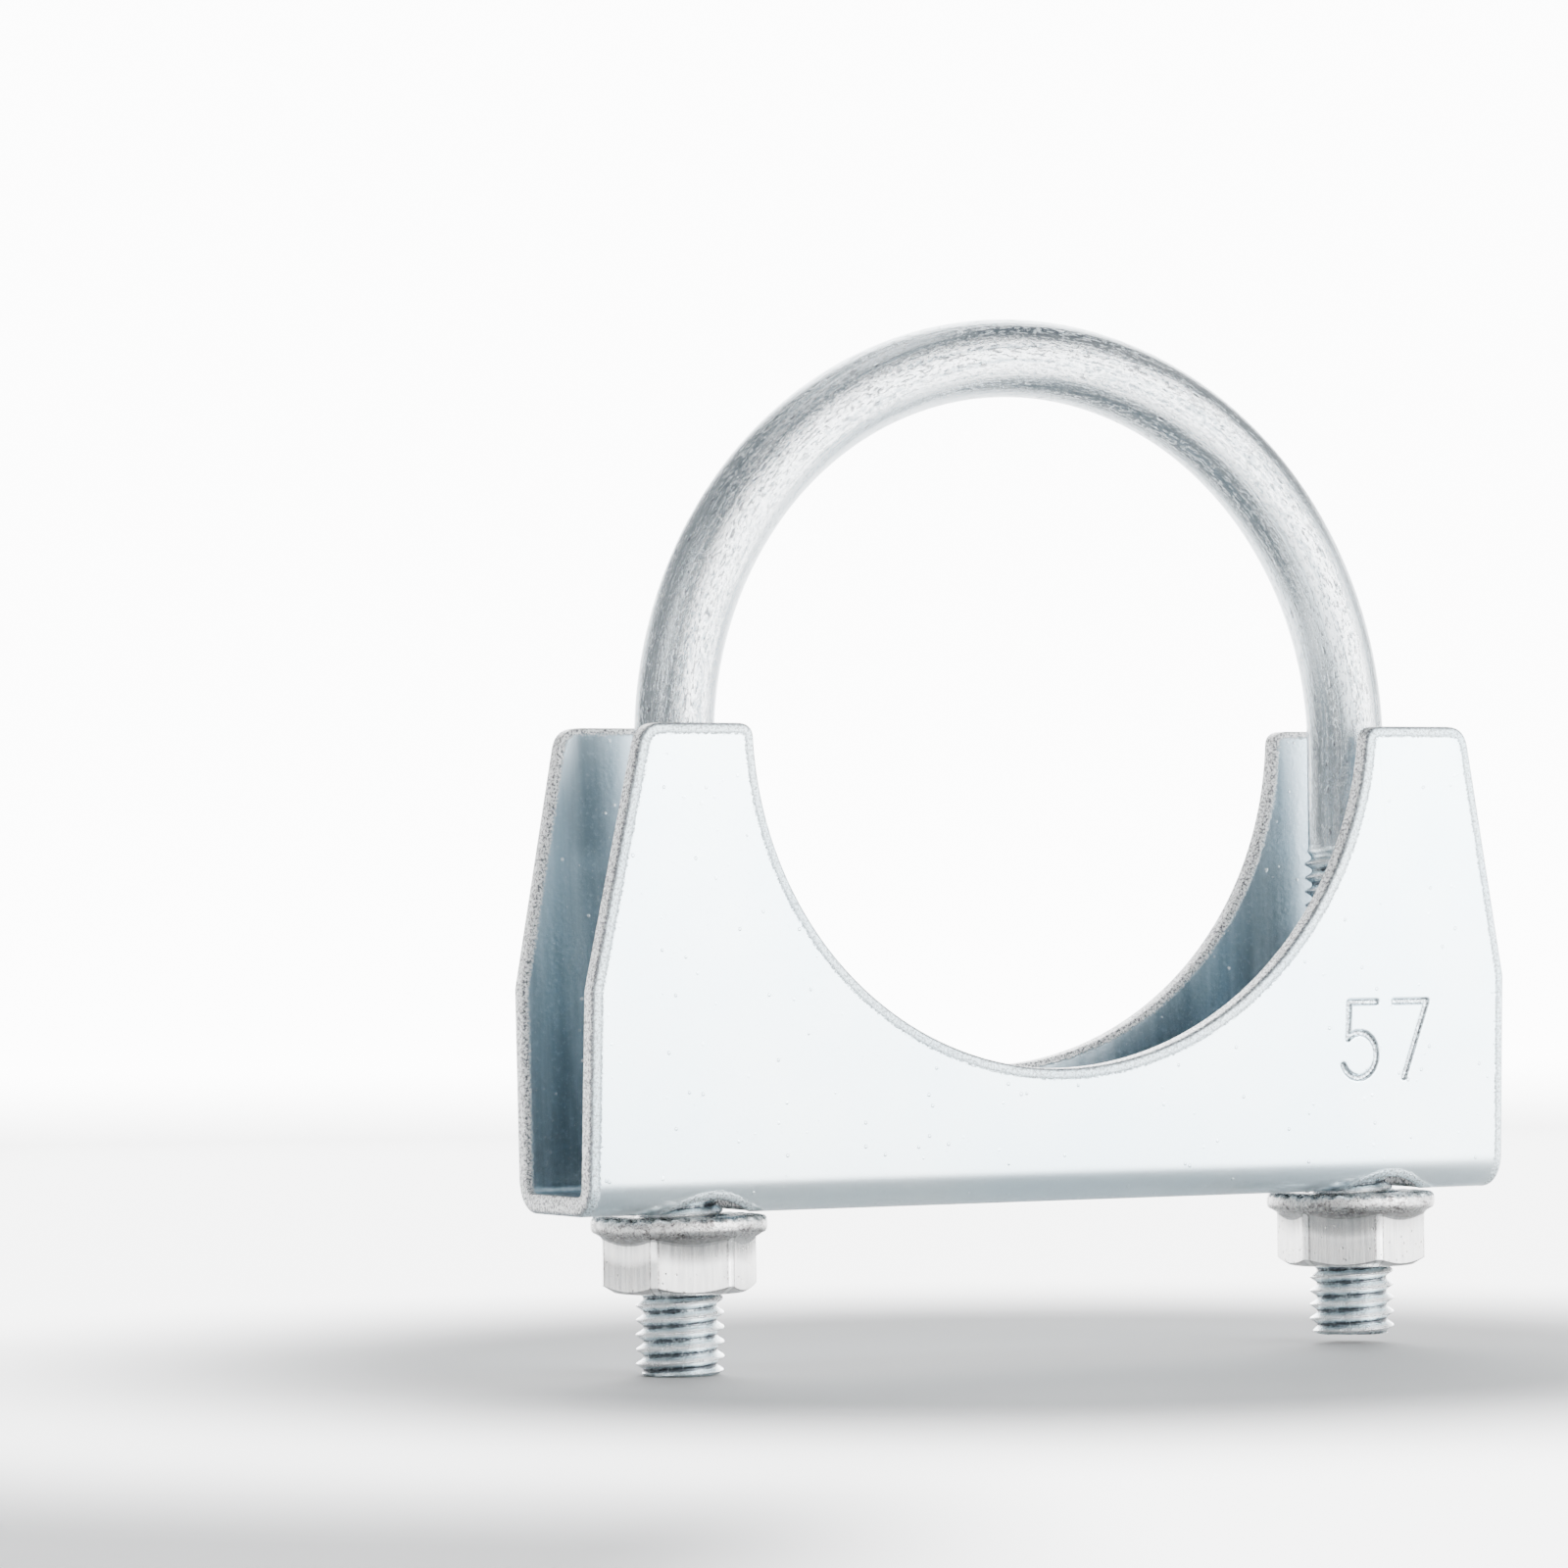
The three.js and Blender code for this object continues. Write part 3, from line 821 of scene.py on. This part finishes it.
    def _join(self, bm: bmesh.types.BMesh, side: Side) -> None:
        """Bridges the thread's upper ring to the plain bar's."""
        low = self.thread_top - 0.01
        rings = open_edges(bm, lambda place: place.z > low and place.x * side.value > 0.0)
        bmesh.ops.bridge_loops(bm, edges=rings)

    def _crop(self, bm: bmesh.types.BMesh, side: Side, end: float) -> None:
        """Closes a leg's lower end with a torn face."""
        rim = open_edges(bm, lambda place: place.z < end + 1.0 and place.x * side.value > 0.0)
        axis = Matrix.Translation((-side.value * self.bow_radius, 0.0, -end))
        for share in self.tear_rings:
            grown = bmesh.ops.extrude_edge_only(bm, edges=rim)["geom"]
            verts = set(only(bmesh.types.BMVert, grown))
            bmesh.ops.scale(bm, vec=(share, share, 1.0), space=axis, verts=list(verts))
            rim = [edge for edge in only(bmesh.types.BMEdge, grown) if verts.issuperset(edge.verts)]
            for face in only(bmesh.types.BMFace, grown):
                face.material_index = 2
        for face in bmesh.ops.holes_fill(bm, edges=rim, sides=0)["faces"]:
            face.material_index = 2
        for vert in bm.verts:
            if vert.co.x * side.value > 0.0 and vert.co.z < end + self.tear_reach:
                rise = 0.5 + 0.5 * noise.noise(Vector((vert.co.x * 0.9, vert.co.y * 0.9, 3.0)))
                vert.co.z += self.end_tear * rise * (1.0 - smooth_ramp(vert.co.z, end, end + self.tear_reach))

    def _unbent(self, point: Vector) -> Vector:
        """Where a point lay on the straight bar.

        Args:
            point: A point of the bent bar.

        Returns:
            Its place across the bar, in X and Y, and along it, in Z.
        """
        arc = math.pi * self.bow_radius
        if point.z < 0.0:
            along = point.z if point.x < 0.0 else arc - point.z
            return Vector((abs(point.x) - self.bow_radius, point.y, along))
        angle = math.atan2(point.z, -point.x)
        return Vector((math.hypot(point.x, point.z) - self.bow_radius, point.y, self.bow_radius * angle))


# ---- Saddle ---------------------------------------------------------------------------------


@dataclass(frozen=True)
class SizeNumber:
    """The clamp's size, 57, sunk into the front plate as round-bottomed strokes."""

    left: float = 28.9
    bottom: float = -30.0
    height: float = 6.8
    digit_width: float = 3.7
    digit_gap: float = 1.5
    stroke: float = 0.34
    depth: float = 0.24
    margin: float = 1.0
    cells: int = 110

    def strokes(self) -> list[tuple[Vector, Vector]]:
        """The digits' centre lines.

        Returns:
            Pairs of points in X and Z.
        """
        bowl = [
            (0.42 + 0.5 * math.cos(math.radians(angle)), 0.3 + 0.3 * math.sin(math.radians(angle)))
            for angle in range(125, -156, -20)
        ]
        five = [(0.9, 1.0), (0.12, 1.0), (0.1, 0.52), *bowl]
        seven = [(0.0, 1.0), (0.95, 1.0), (0.32, 0.0)]
        lines = []
        for number, digit in enumerate((five, seven)):
            left = self.left + number * (self.digit_width + self.digit_gap)
            points = [
                Vector((left + across * self.digit_width, self.bottom + up * self.height))
                for across, up in digit
            ]
            lines += zip(points, points[1:])
        return lines

    def sink(self, place: Vector, lines: Iterable[tuple[Vector, Vector]]) -> float:
        """How deep the number is sunk at a place.

        Args:
            place: The place in X and Z.
            lines: The digits' centre lines.

        Returns:
            The depth in millimetres.
        """
        nearest = self.stroke * 2.0
        for start, end in lines:
            along = end - start
            share = min(1.0, max(0.0, (place - start).dot(along) / along.length_squared))
            nearest = min(nearest, (place - start - along * share).length)
        return self.depth * (1.0 - smooth_ramp(nearest, self.stroke * 0.35, self.stroke))


@dataclass(frozen=True)
class ChannelSaddle:
    """The pressed saddle, worked as a press does: blanked flat, pierced, edged and folded.

    On the flat blank, X runs along the saddle, Y across the sheet from the web's middle, and Z
    through the sheet from its outer face.
    """

    sheet: float = 1.7
    half_width: float = 7.0
    lean: float = 0.043
    outer_radius: float = 3.0
    inner_radius: float = 0.8
    web_underside: float = -40.2
    web_half: float = 4.0
    bend_length: float = 5.0
    bend_top: float = -36.5
    bend_strips: int = 20
    horn_top: float = 1.5
    horn_half_length: float = 41.5
    knee_half_length: float = 46.0
    knee_height: float = -21.0
    web_half_length: float = 46.09
    outer_corner: float = 1.8
    inner_corner: float = 1.5
    notch_radius: float = 31.0
    notch_centre: float = 2.5
    notch_steps: int = 72
    leg_spacing: float = LEG_OFFSET
    hole_radius: float = 5.0
    hole_stretch: float = 1.45
    hole_patch: float = 7.5
    hole_sides: int = 48
    roll: float = 0.45
    burr: float = 0.14
    edge_ring: float = 0.7
    number: SizeNumber = field(default_factory=SizeNumber)

    def build(self) -> bpy.types.Object:
        """Makes the saddle.

        Returns:
            The piece.
        """
        bm = self._blank()
        self._pierce(bm)
        self._thicken(bm)
        self._edge(bm)
        self._score_bends(bm)
        self._stamp(bm)
        unfolded = bm.verts.layers.float_vector.new("unfolded")
        for vert in bm.verts:
            vert[unfolded] = vert.co
            vert.co = self._folded(vert.co)
        return place_piece(bm, "saddle_pressing", "saddle", [SheetZinc(self.sheet).build()])

    def _across(self, height: float) -> float:
        """The blank's Y for a height on a plate."""
        return self.web_half + self.bend_length + height - self.bend_top

    def _quarter_outline(self) -> list[tuple[float, float]]:
        """The outline of one quarter of the blank, from the web's middle round to the notch."""
        top = self._across(self.horn_top)
        run = (self.knee_half_length - self.horn_half_length) / (self.horn_top - self.knee_height)
        inner_low = self.horn_top - self.inner_corner - self.notch_centre
        notch_side = math.sqrt(self.notch_radius**2 - inner_low**2)
        shoulder = (self.horn_half_length + run * self.outer_corner, top - self.outer_corner)
        points = [
            (0.0, 0.0),
            (self.web_half_length, 0.0),
            (self.web_half_length, self.web_half + self.bend_length),
            (self.knee_half_length, self._across(self.knee_height)),
        ]
        points += self._rounded(
            shoulder, (self.horn_half_length, top), (self.horn_half_length - self.outer_corner, top)
        )
        points += self._rounded(
            (notch_side + self.inner_corner, top), (notch_side, top), (notch_side, top - self.inner_corner)
        )
        start = math.atan2(inner_low, notch_side)
        for step in range(1, self.notch_steps + 1):
            angle = start - (math.pi / 2 + start) * step / self.notch_steps
            height = self.notch_centre + self.notch_radius * math.sin(angle)
            points.append((max(0.0, self.notch_radius * math.cos(angle)), self._across(height)))
        return points

    @staticmethod
    def _rounded(
        start: Sequence[float], corner: Sequence[float], end: Sequence[float], steps: int = 7
    ) -> list[tuple[float, float]]:
        """A quadratic curve that rounds a corner.

        Args:
            start: Where the curve leaves the first side.
            corner: The corner.
            end: Where it meets the second side.
            steps: How many stretches it has.

        Returns:
            The curve's points, ends included.
        """
        points = []
        for step in range(steps + 1):
            share = step / steps
            weights = ((1 - share) ** 2, 2 * share * (1 - share), share**2)
            points.append(
                tuple(sum(w * p[axis] for w, p in zip(weights, (start, corner, end))) for axis in (0, 1))
            )
        return points

    def _cut(self, bm: bmesh.types.BMesh, place: Sequence[float], normal: Sequence[float]) -> None:
        """Scores a straight line across the whole blank."""
        bmesh.ops.bisect_plane(bm, geom=whole(bm), dist=CUT_SLACK, plane_co=place, plane_no=normal)

    def _blank(self) -> bmesh.types.BMesh:
        """The flat blank's outline, scored round the leg holes and the size number."""
        bm = bmesh.new()
        bm.faces.new([bm.verts.new((x, y, 0.0)) for x, y in self._quarter_outline()])
        for axis in ("X", "Y"):
            bmesh.ops.mirror(bm, geom=whole(bm), matrix=Matrix.Identity(4), merge_dist=1e-3, axis=axis)
        bend_end = self.web_half + self.bend_length
        for side in Side:
            self._cut(bm, (0.0, side.value * bend_end, 0.0), (0.0, 1.0, 0.0))
            for reach in (-self.hole_patch, self.hole_patch):
                x = side.value * self.leg_spacing + reach
                self._cut(bm, (x, 0.0, 0.0), (1.0, 0.0, 0.0))
        number = self.number
        right = number.left + 2 * number.digit_width + number.digit_gap + number.margin
        top = number.bottom + number.height + number.margin
        for x in (number.left - number.margin, right):
            self._cut(bm, (x, 0.0, 0.0), (1.0, 0.0, 0.0))
        for height in (number.bottom - number.margin, top):
            self._cut(bm, (0.0, -self._across(height), 0.0), (0.0, 1.0, 0.0))
        return bm

    def _pierce(self, bm: bmesh.types.BMesh) -> None:
        """Opens the two leg holes, whose ends reach into both bends."""
        bend_end = self.web_half + self.bend_length
        for side in Side:
            x = side.value * self.leg_spacing
            patch = []
            for face in bm.faces:
                middle = face.calc_center_median()
                if abs(middle.x - x) < self.hole_patch and abs(middle.y) < bend_end:
                    patch.append(face)
            bmesh.ops.delete(bm, geom=patch, context="FACES")
            rim = self._patch_rim(bm, x)
            while len(rim) < self.hole_sides:
                longest = max(edge.calc_length() for edge in rim)
                long_edges = [edge for edge in rim if edge.calc_length() > longest * 0.7]
                bmesh.ops.subdivide_edges(bm, edges=long_edges, cuts=1)
                rim = self._patch_rim(bm, x)
            hole = bmesh.ops.create_circle(
                bm, segments=len(rim), radius=self.hole_radius, matrix=Matrix.Translation((x, 0.0, 0.0))
            )
            for vert in hole["verts"]:
                if abs(vert.co.y) > 0.01:
                    vert.co.y += math.copysign(self.hole_stretch, vert.co.y)
            edges = {edge for vert in hole["verts"] for edge in vert.link_edges}
            bmesh.ops.bridge_loops(bm, edges=[*rim, *edges])

    def _patch_rim(self, bm: bmesh.types.BMesh, x: float) -> list[bmesh.types.BMEdge]:
        """The open edges round the patch taken out for a leg hole."""
        reach = Vector((self.hole_patch + 0.01, self.web_half + self.bend_length + 0.01))
        return open_edges(bm, lambda place: abs(place.x - x) < reach.x and abs(place.y) < reach.y)

    def _thicken(self, bm: bmesh.types.BMesh) -> None:
        """Gives the blank its thickness."""
        verts = only(bmesh.types.BMVert, bmesh.ops.extrude_face_region(bm, geom=bm.faces[:])["geom"])
        bmesh.ops.translate(bm, vec=(0.0, 0.0, self.sheet), verts=verts)
        bmesh.ops.recalc_face_normals(bm, faces=bm.faces)

    def _edge(self, bm: bmesh.types.BMesh) -> None:
        """Rolls the outline over on the outer face, breaks it inside and marks what was sheared."""
        for level, offset, segments in ((0.0, self.roll, 5), (self.sheet, self.burr, 2)):
            outline = [
                edge
                for edge in bm.edges
                if all(abs(vert.co.z - level) < 1e-3 for vert in edge.verts)
                and any(abs(face.normal.z) < 0.5 for face in edge.link_faces)
            ]
            bmesh.ops.bevel(
                bm,
                geom=outline,
                offset=offset,
                offset_type="OFFSET",
                affect="EDGES",
                segments=segments,
                profile=0.5,
                material=-1,
                clamp_overlap=False,
            )
            bm.normal_update()
        sheared = bm.verts.layers.float.new("sheared")
        flats: dict[float, list[bmesh.types.BMFace]] = {0.0: [], self.sheet: []}
        for face in bm.faces:
            if abs(face.normal.z) > 0.9999:
                flats[0.0 if face.normal.z < 0.0 else self.sheet].append(face)
            else:
                for vert in face.verts:
                    vert[sheared] = 1.0
        for faces in flats.values():
            bmesh.ops.inset_region(
                bm, faces=faces, thickness=self.edge_ring, use_boundary=True, use_even_offset=True
            )
            for face in faces:
                for vert in face.verts:
                    vert[sheared] = 0.0

    def _score_bends(self, bm: bmesh.types.BMesh) -> None:
        """Divides the two bend zones into fine strips."""
        for side in Side:
            for strip in range(self.bend_strips + 1):
                y = self.web_half + self.bend_length * strip / self.bend_strips
                self._cut(bm, (0.0, side.value * y, 0.0), (0.0, 1.0, 0.0))

    def _stamp(self, bm: bmesh.types.BMesh) -> None:
        """Sinks the size number into the front plate's outer face."""
        number = self.number
        middle = Vector(
            (number.left + number.digit_width + number.digit_gap / 2, number.bottom + number.height / 2)
        )
        bm.normal_update()
        panel = min(
            (face for face in bm.faces if face.normal.z < -0.999 and face.calc_center_median().y < 0.0),
            key=lambda face: (
                face.calc_center_median() - Vector((middle.x, -self._across(middle.y), 0.0))
            ).length,
        )
        grid = bmesh.ops.subdivide_edges(
            bm, edges=panel.edges[:], cuts=number.cells, use_grid_fill=True
        )
        lines = number.strokes()
        for vert in only(bmesh.types.BMVert, grid["geom_inner"]):
            height = -vert.co.y - self._across(0.0)
            vert.co.z += number.sink(Vector((vert.co.x, height)), lines)

    def _face_point(self, across: float, radius: float, inset: float) -> Vector:
        """A point of one face of the folded section.

        Args:
            across: The blank's distance from the web's middle.
            radius: The bend's radius on this face.
            inset: How far this face lies inside the outer one.

        Returns:
            The point in Y and Z.
        """
        turn = math.pi / 2 - self.lean
        web = self.web_underside + inset
        arc_start = self.half_width - inset - radius * math.tan(turn / 2)
        arc_end = Vector((arc_start + radius * math.sin(turn), web + radius * (1 - math.cos(turn))))
        up = Vector((math.sin(self.lean), math.cos(self.lean)))
        if across <= self.web_half:
            return Vector((across, web))
        if across >= self.web_half + self.bend_length:
            height = self.bend_top + across - self.web_half - self.bend_length
            return arc_end + up * ((height - arc_end.y) / up.y)
        flat = arc_start - self.web_half
        straight = (self.bend_top - arc_end.y) / up.y
        travel = (across - self.web_half) / self.bend_length * (flat + radius * turn + straight)
        if travel < flat:
            return Vector((self.web_half + travel, web))
        if travel > flat + radius * turn:
            return arc_end + up * (travel - flat - radius * turn)
        angle = (travel - flat) / radius
        return Vector((arc_start + radius * math.sin(angle), web + radius * (1 - math.cos(angle))))

    def _folded(self, flat: Vector) -> Vector:
        """Where a point of the blank lies once the channel is folded."""
        outer = self._face_point(abs(flat.y), self.outer_radius, 0.0)
        inner = self._face_point(abs(flat.y), self.inner_radius, self.sheet)
        point = outer.lerp(inner, flat.z / self.sheet)
        return Vector((flat.x, math.copysign(point.x, flat.y), point.y))


# ---- Flange nuts ----------------------------------------------------------------------------


@dataclass(frozen=True)
class FlangeNut:
    """A hexagon nut with a serrated flange, seated under the saddle."""

    side: Side
    turn: float
    bore: ThreadForm = field(default_factory=lambda: ThreadForm(4.0, 3.4))
    spacing: float = LEG_OFFSET
    seat: float = -40.5
    height: float = 6.6
    across_flats: float = 11.9
    corner_break: float = 0.15
    arris_width: float = math.radians(5.0)
    flange_radius: float = 7.6
    flange_rim: float = 1.5
    neck_slope: float = 0.62
    face_radius: float = 5.6
    chamfer_slope: float = 0.59
    countersink: float = 0.4
    teeth: int = 30
    tooth_depth: float = 0.22
    around: int = 240

    def build(self, material: bpy.types.Material) -> bpy.types.Object:
        """Makes the nut.

        Args:
            material: The nut's finish.

        Returns:
            The piece.
        """
        bm = self._shell()
        absorb(bm, self._thread())
        for upper in (True, False):
            middle = self.seat - self.height / 2
            bmesh.ops.bridge_loops(bm, edges=open_edges(bm, lambda place: (place.z > middle) == upper))
        flange = bm.verts.layers.float.new("flange")
        arris = bm.verts.layers.float.new("arris")
        rim_foot = self.seat - self.flange_rim
        for vert in bm.verts:
            vert[flange] = smooth_ramp(vert.co.z, rim_foot - 0.5, rim_foot)
            # How near the hexagon's corners a point lies; the nut's finish paints a highlight and a dark line
            # there.
            vert[arris] = self._arris(vert.co) * (1.0 - vert[flange])
        bmesh.ops.translate(bm, vec=(self.side.value * self.spacing, 0.0, 0.0), verts=bm.verts)
        name = f"nut_{self.side.name.lower()}"
        return place_piece(bm, f"{name}_flanged", name, [material], 30.0)

    def _thread(self) -> bmesh.types.BMesh:
        """The tapped bore, open at both ends."""
        return self.bore.tube(self.seat - self.height + self.countersink, self.seat - self.countersink)

    def _hexagon(self, angle: float) -> float:
        """The hexagon's radius in a direction, with its corners slightly broken."""
        sixth = math.pi / 3
        off = (angle - self.turn) % sixth - sixth / 2
        radius = self.across_flats / 2 / math.cos(off)
        corner = self.across_flats / math.sqrt(3)
        return min(radius, corner - self.corner_break)

    def _arris(self, place: Vector) -> float:
        """How near a point of the outside is to one of the hexagon's corners, from 0 to 1."""
        if math.hypot(place.x, place.y) < self.face_radius:
            return 0.0
        sixth = math.pi / 3
        off = (math.atan2(place.y, place.x) - self.turn) % sixth - sixth / 2
        return smooth_ramp(abs(off), sixth / 2 - self.arris_width, sixth / 2)

    def _tooth(self, angle: float) -> float:
        """The serrations' depth in a direction, as a share: a slow ramp and a quick drop."""
        share = (angle * self.teeth / (2 * math.pi)) % 1.0
        return smooth_ramp(share, 0.0, 0.7) * (1.0 - smooth_ramp(share, 0.72, 1.0))

    def _stations(self) -> list[Callable[[float], tuple[float, float]]]:
        """The nut's outline from the bore's top, over the flange and down to the bore's foot.

        Returns:
            Functions of the direction that give a radius and a height under the seat.
        """
        rim = self.flange_radius
        low = self.flange_rim
        base = self.height
        bore = self.bore.crest_radius
        tooth = self._tooth
        hexagon = self._hexagon

        def neck(radius: float) -> float:
            """The flange's underside at a radius."""
            return low + (rim - 0.35 - radius) * self.neck_slope

        def chamfer(radius: float) -> float:
            """The end chamfer's depth at a radius."""
            return base - (radius - self.face_radius) * self.chamfer_slope

        return [
            lambda a: (bore + 0.02, self.countersink),
            lambda a: (bore + 0.45, 0.04),
            lambda a: (5.0, 0.0),
            lambda a: (5.5, 0.0),
            lambda a: (6.0, 0.35 * self.tooth_depth * tooth(a)),
            lambda a: (rim - 0.55, 0.9 * self.tooth_depth * tooth(a)),
            lambda a: (rim - 0.22, 0.06 + self.tooth_depth * tooth(a)),
            lambda a: (rim - 0.06, 0.24 + 0.8 * self.tooth_depth * tooth(a)),
            lambda a: (rim, 0.52 + 0.3 * self.tooth_depth * tooth(a)),
            lambda a: (rim, low - 0.5),
            lambda a: (rim - 0.07, low - 0.22),
            lambda a: (rim - 0.2, low - 0.06),
            lambda a: (rim - 0.4, low + 0.02),
            lambda a: (hexagon(a) + 0.16, neck(hexagon(a) + 0.16)),
            lambda a: (hexagon(a) + 0.04, neck(hexagon(a)) + 0.05),
            lambda a: (hexagon(a), neck(hexagon(a)) + 0.18),
            lambda a: (hexagon(a), 0.5 * (neck(hexagon(a)) + chamfer(hexagon(a)))),
            lambda a: (hexagon(a), chamfer(hexagon(a)) - 0.06),
            lambda a: (hexagon(a) - 0.05, chamfer(hexagon(a)) + 0.01),
            lambda a: (self.face_radius + 0.05, base - 0.04),
            lambda a: (self.face_radius - 0.12, base),
            lambda a: (bore + 0.6, base),
            lambda a: (bore + 0.45, base - 0.06),
            lambda a: (bore + 0.02, base - self.countersink),
        ]

    def _shell(self) -> bmesh.types.BMesh:
        """The nut's outside as a stack of rings, open at the bore."""
        bm = bmesh.new()
        ring = bmesh.ops.create_circle(
            bm, segments=self.around, radius=1.0, matrix=Matrix.Rotation(self.turn, 4, "Z")
        )["verts"]
        angles = [math.atan2(vert.co.y, vert.co.x) for vert in ring]
        edges = list({edge for vert in ring for edge in vert.link_edges})
        for number, station in enumerate(self._stations()):
            if number:
                grown = bmesh.ops.extrude_edge_only(bm, edges=edges)["geom"]
                fresh = set(only(bmesh.types.BMVert, grown))
                edges = [edge for edge in only(bmesh.types.BMEdge, grown) if fresh.issuperset(edge.verts)]
                ring = [self._above(vert, fresh) for vert in ring]
            for vert, angle in zip(ring, angles):
                radius, drop = station(angle)
                vert.co = (radius * math.cos(angle), radius * math.sin(angle), self.seat - drop)
        return bm

    @staticmethod
    def _above(vert: bmesh.types.BMVert, fresh: set[bmesh.types.BMVert]) -> bmesh.types.BMVert:
        """The newly extruded vertex that grew from an older one."""
        return next(edge.other_vert(vert) for edge in vert.link_edges if edge.other_vert(vert) in fresh)


# ---- Studio ---------------------------------------------------------------------------------


@dataclass(frozen=True)
class SoftBox:
    """A rectangular soft light that faces a point near the object."""

    name: str
    place: tuple[float, float, float]
    size: tuple[float, float]
    radiance: float
    aim: tuple[float, float, float] = (0.0, 0.0, -0.01)

    def build(self) -> bpy.types.Object:
        """Hangs the light.

        Returns:
            The light's object.
        """
        light = bpy.data.lights.new(self.name, "AREA")
        light.shape = "RECTANGLE"
        light.size, light.size_y = self.size
        light.energy = self.radiance * math.pi * self.size[0] * self.size[1]
        holder = bpy.data.objects.new(self.name, light)
        holder.location = self.place
        away = Vector(self.place) - Vector(self.aim)
        holder.rotation_mode = "QUATERNION"
        holder.rotation_quaternion = away.to_track_quat("Z", "Y")
        bpy.context.scene.collection.objects.link(holder)
        return holder


@dataclass(frozen=True)
class Studio:
    """The pale sweep, the soft lights, the surroundings and the camera, in metres."""

    sweep_radius: float = 1.5
    sweep_curve: float = 0.35
    sweep_height: float = 1.6
    curve_steps: int = 16
    round_steps: int = 96
    world_colour: tuple[float, float, float] = (0.80, 0.86, 0.92)
    world_strength: float = 0.5
    camera_place: tuple[float, float, float] = (-0.278181, -0.482154, -0.014789)
    camera_aim: tuple[float, float, float] = (-0.018600, 0.009400, -0.003291)
    camera_roll: float = math.radians(0.595)
    lens: float = 144.41
    sensor: float = 36.0

    def build(self) -> None:
        """Sets everything up."""
        self._sweep()
        self._world()
        for box in self._lights():
            box.build()
        self._camera()

    def _sweep(self) -> None:
        """A round paper floor that curves up into a wall all the way round."""
        floor = MODEL_BOX[0].z
        bm = bmesh.new()
        start = bm.verts.new((0.0, 0.0, floor))
        edge_vert = bm.verts.new((self.sweep_radius - self.sweep_curve, 0.0, floor))
        bm.edges.new((start, edge_vert))
        curve = bmesh.ops.spin(
            bm,
            geom=[edge_vert],
            cent=(self.sweep_radius - self.sweep_curve, 0.0, floor + self.sweep_curve),
            axis=(0.0, -1.0, 0.0),
            dvec=(0.0, 0.0, 0.0),
            angle=math.pi / 2,
            steps=self.curve_steps,
            use_merge=False,
            use_duplicate=False,
        )
        top = only(bmesh.types.BMVert, curve["geom_last"])
        wall = bmesh.ops.extrude_vert_indiv(bm, verts=top)["verts"]
        bmesh.ops.translate(bm, vec=(0.0, 0.0, self.sweep_height), verts=wall)
        bmesh.ops.spin(
            bm,
            geom=whole(bm),
            cent=(0.0, 0.0, 0.0),
            axis=Z_AXIS,
            dvec=(0.0, 0.0, 0.0),
            angle=2 * math.pi,
            steps=self.round_steps,
            use_merge=True,
            use_duplicate=False,
        )
        bmesh.ops.remove_doubles(bm, verts=bm.verts, dist=1e-5)
        for face in bm.faces:
            face.smooth = True
        mesh = bpy.data.meshes.new("paper_sweep")
        bm.to_mesh(mesh)
        bm.free()
        mesh.materials.append(StudioPaper().build())
        sweep = bpy.data.objects.new("paper_sweep", mesh)
        bpy.context.scene.collection.objects.link(sweep)

    def _world(self) -> None:
        """Plain dim surroundings above the sweep."""
        world = bpy.data.worlds.new("studio")
        world.use_nodes = True
        graph = Graph(world.node_tree)
        colour = (*self.world_colour, 1.0)
        sky = graph.node("ShaderNodeBackground", None, {"Color": colour, "Strength": self.world_strength})
        output = graph.node("ShaderNodeOutputWorld")
        graph.tree.links.new(sky.outputs[0], output.inputs["Surface"])
        bpy.context.scene.world = world

    @staticmethod
    def _lights() -> list[SoftBox]:
        """The soft boxes."""
        return [
            SoftBox("key", (0.50, -0.80, 0.06), (0.62, 0.80), 15.0),
            SoftBox("front", (-0.10, -0.95, 0.04), (0.44, 0.70), 5.5),
            SoftBox("left_strip", (-0.80, -0.29, 0.40), (0.12, 0.50), 7.0),
            SoftBox("right", (0.93, -0.28, 0.05), (0.42, 0.60), 5.5),
            SoftBox("back_right", (0.86, 0.42, 0.03), (0.28, 0.50), 7.0),
            SoftBox("back_left", (-0.20, 0.95, 0.03), (0.28, 0.50), 7.0),
            SoftBox("top", (0.0, 0.0, 0.9), (0.5, 0.5), 2.4),
        ]

    def _camera(self) -> None:
        """A long lens, level with the clamp, in front of it and to its left."""
        data = bpy.data.cameras.new("camera")
        data.lens = self.lens
        data.sensor_width = self.sensor
        camera = bpy.data.objects.new("camera", data)
        forward = (Vector(self.camera_aim) - Vector(self.camera_place)).normalized()
        right = forward.cross(Z_AXIS).normalized()
        up = right.cross(forward)
        rolled_up = up * math.cos(self.camera_roll) + right * math.sin(self.camera_roll)
        rolled_right = forward.cross(rolled_up)
        turn = Matrix((rolled_right, rolled_up, -forward)).transposed()
        camera.matrix_world = Matrix.Translation(self.camera_place) @ turn.to_4x4()
        bpy.context.scene.collection.objects.link(camera)
        bpy.context.scene.camera = camera


def main() -> None:
    """Builds the clamp and its studio."""
    logging.basicConfig(level=logging.INFO, format="%(message)s")
    Studio().build()
    RoundBarBolt().build()
    ChannelSaddle().build()
    nut_finish = NutZinc().build()
    for side, degrees in ((Side.LEFT, 44.5), (Side.RIGHT, 19.6)):
        FlangeNut(side, math.radians(degrees)).build(nut_finish)


if __name__ == "__main__":
    main()
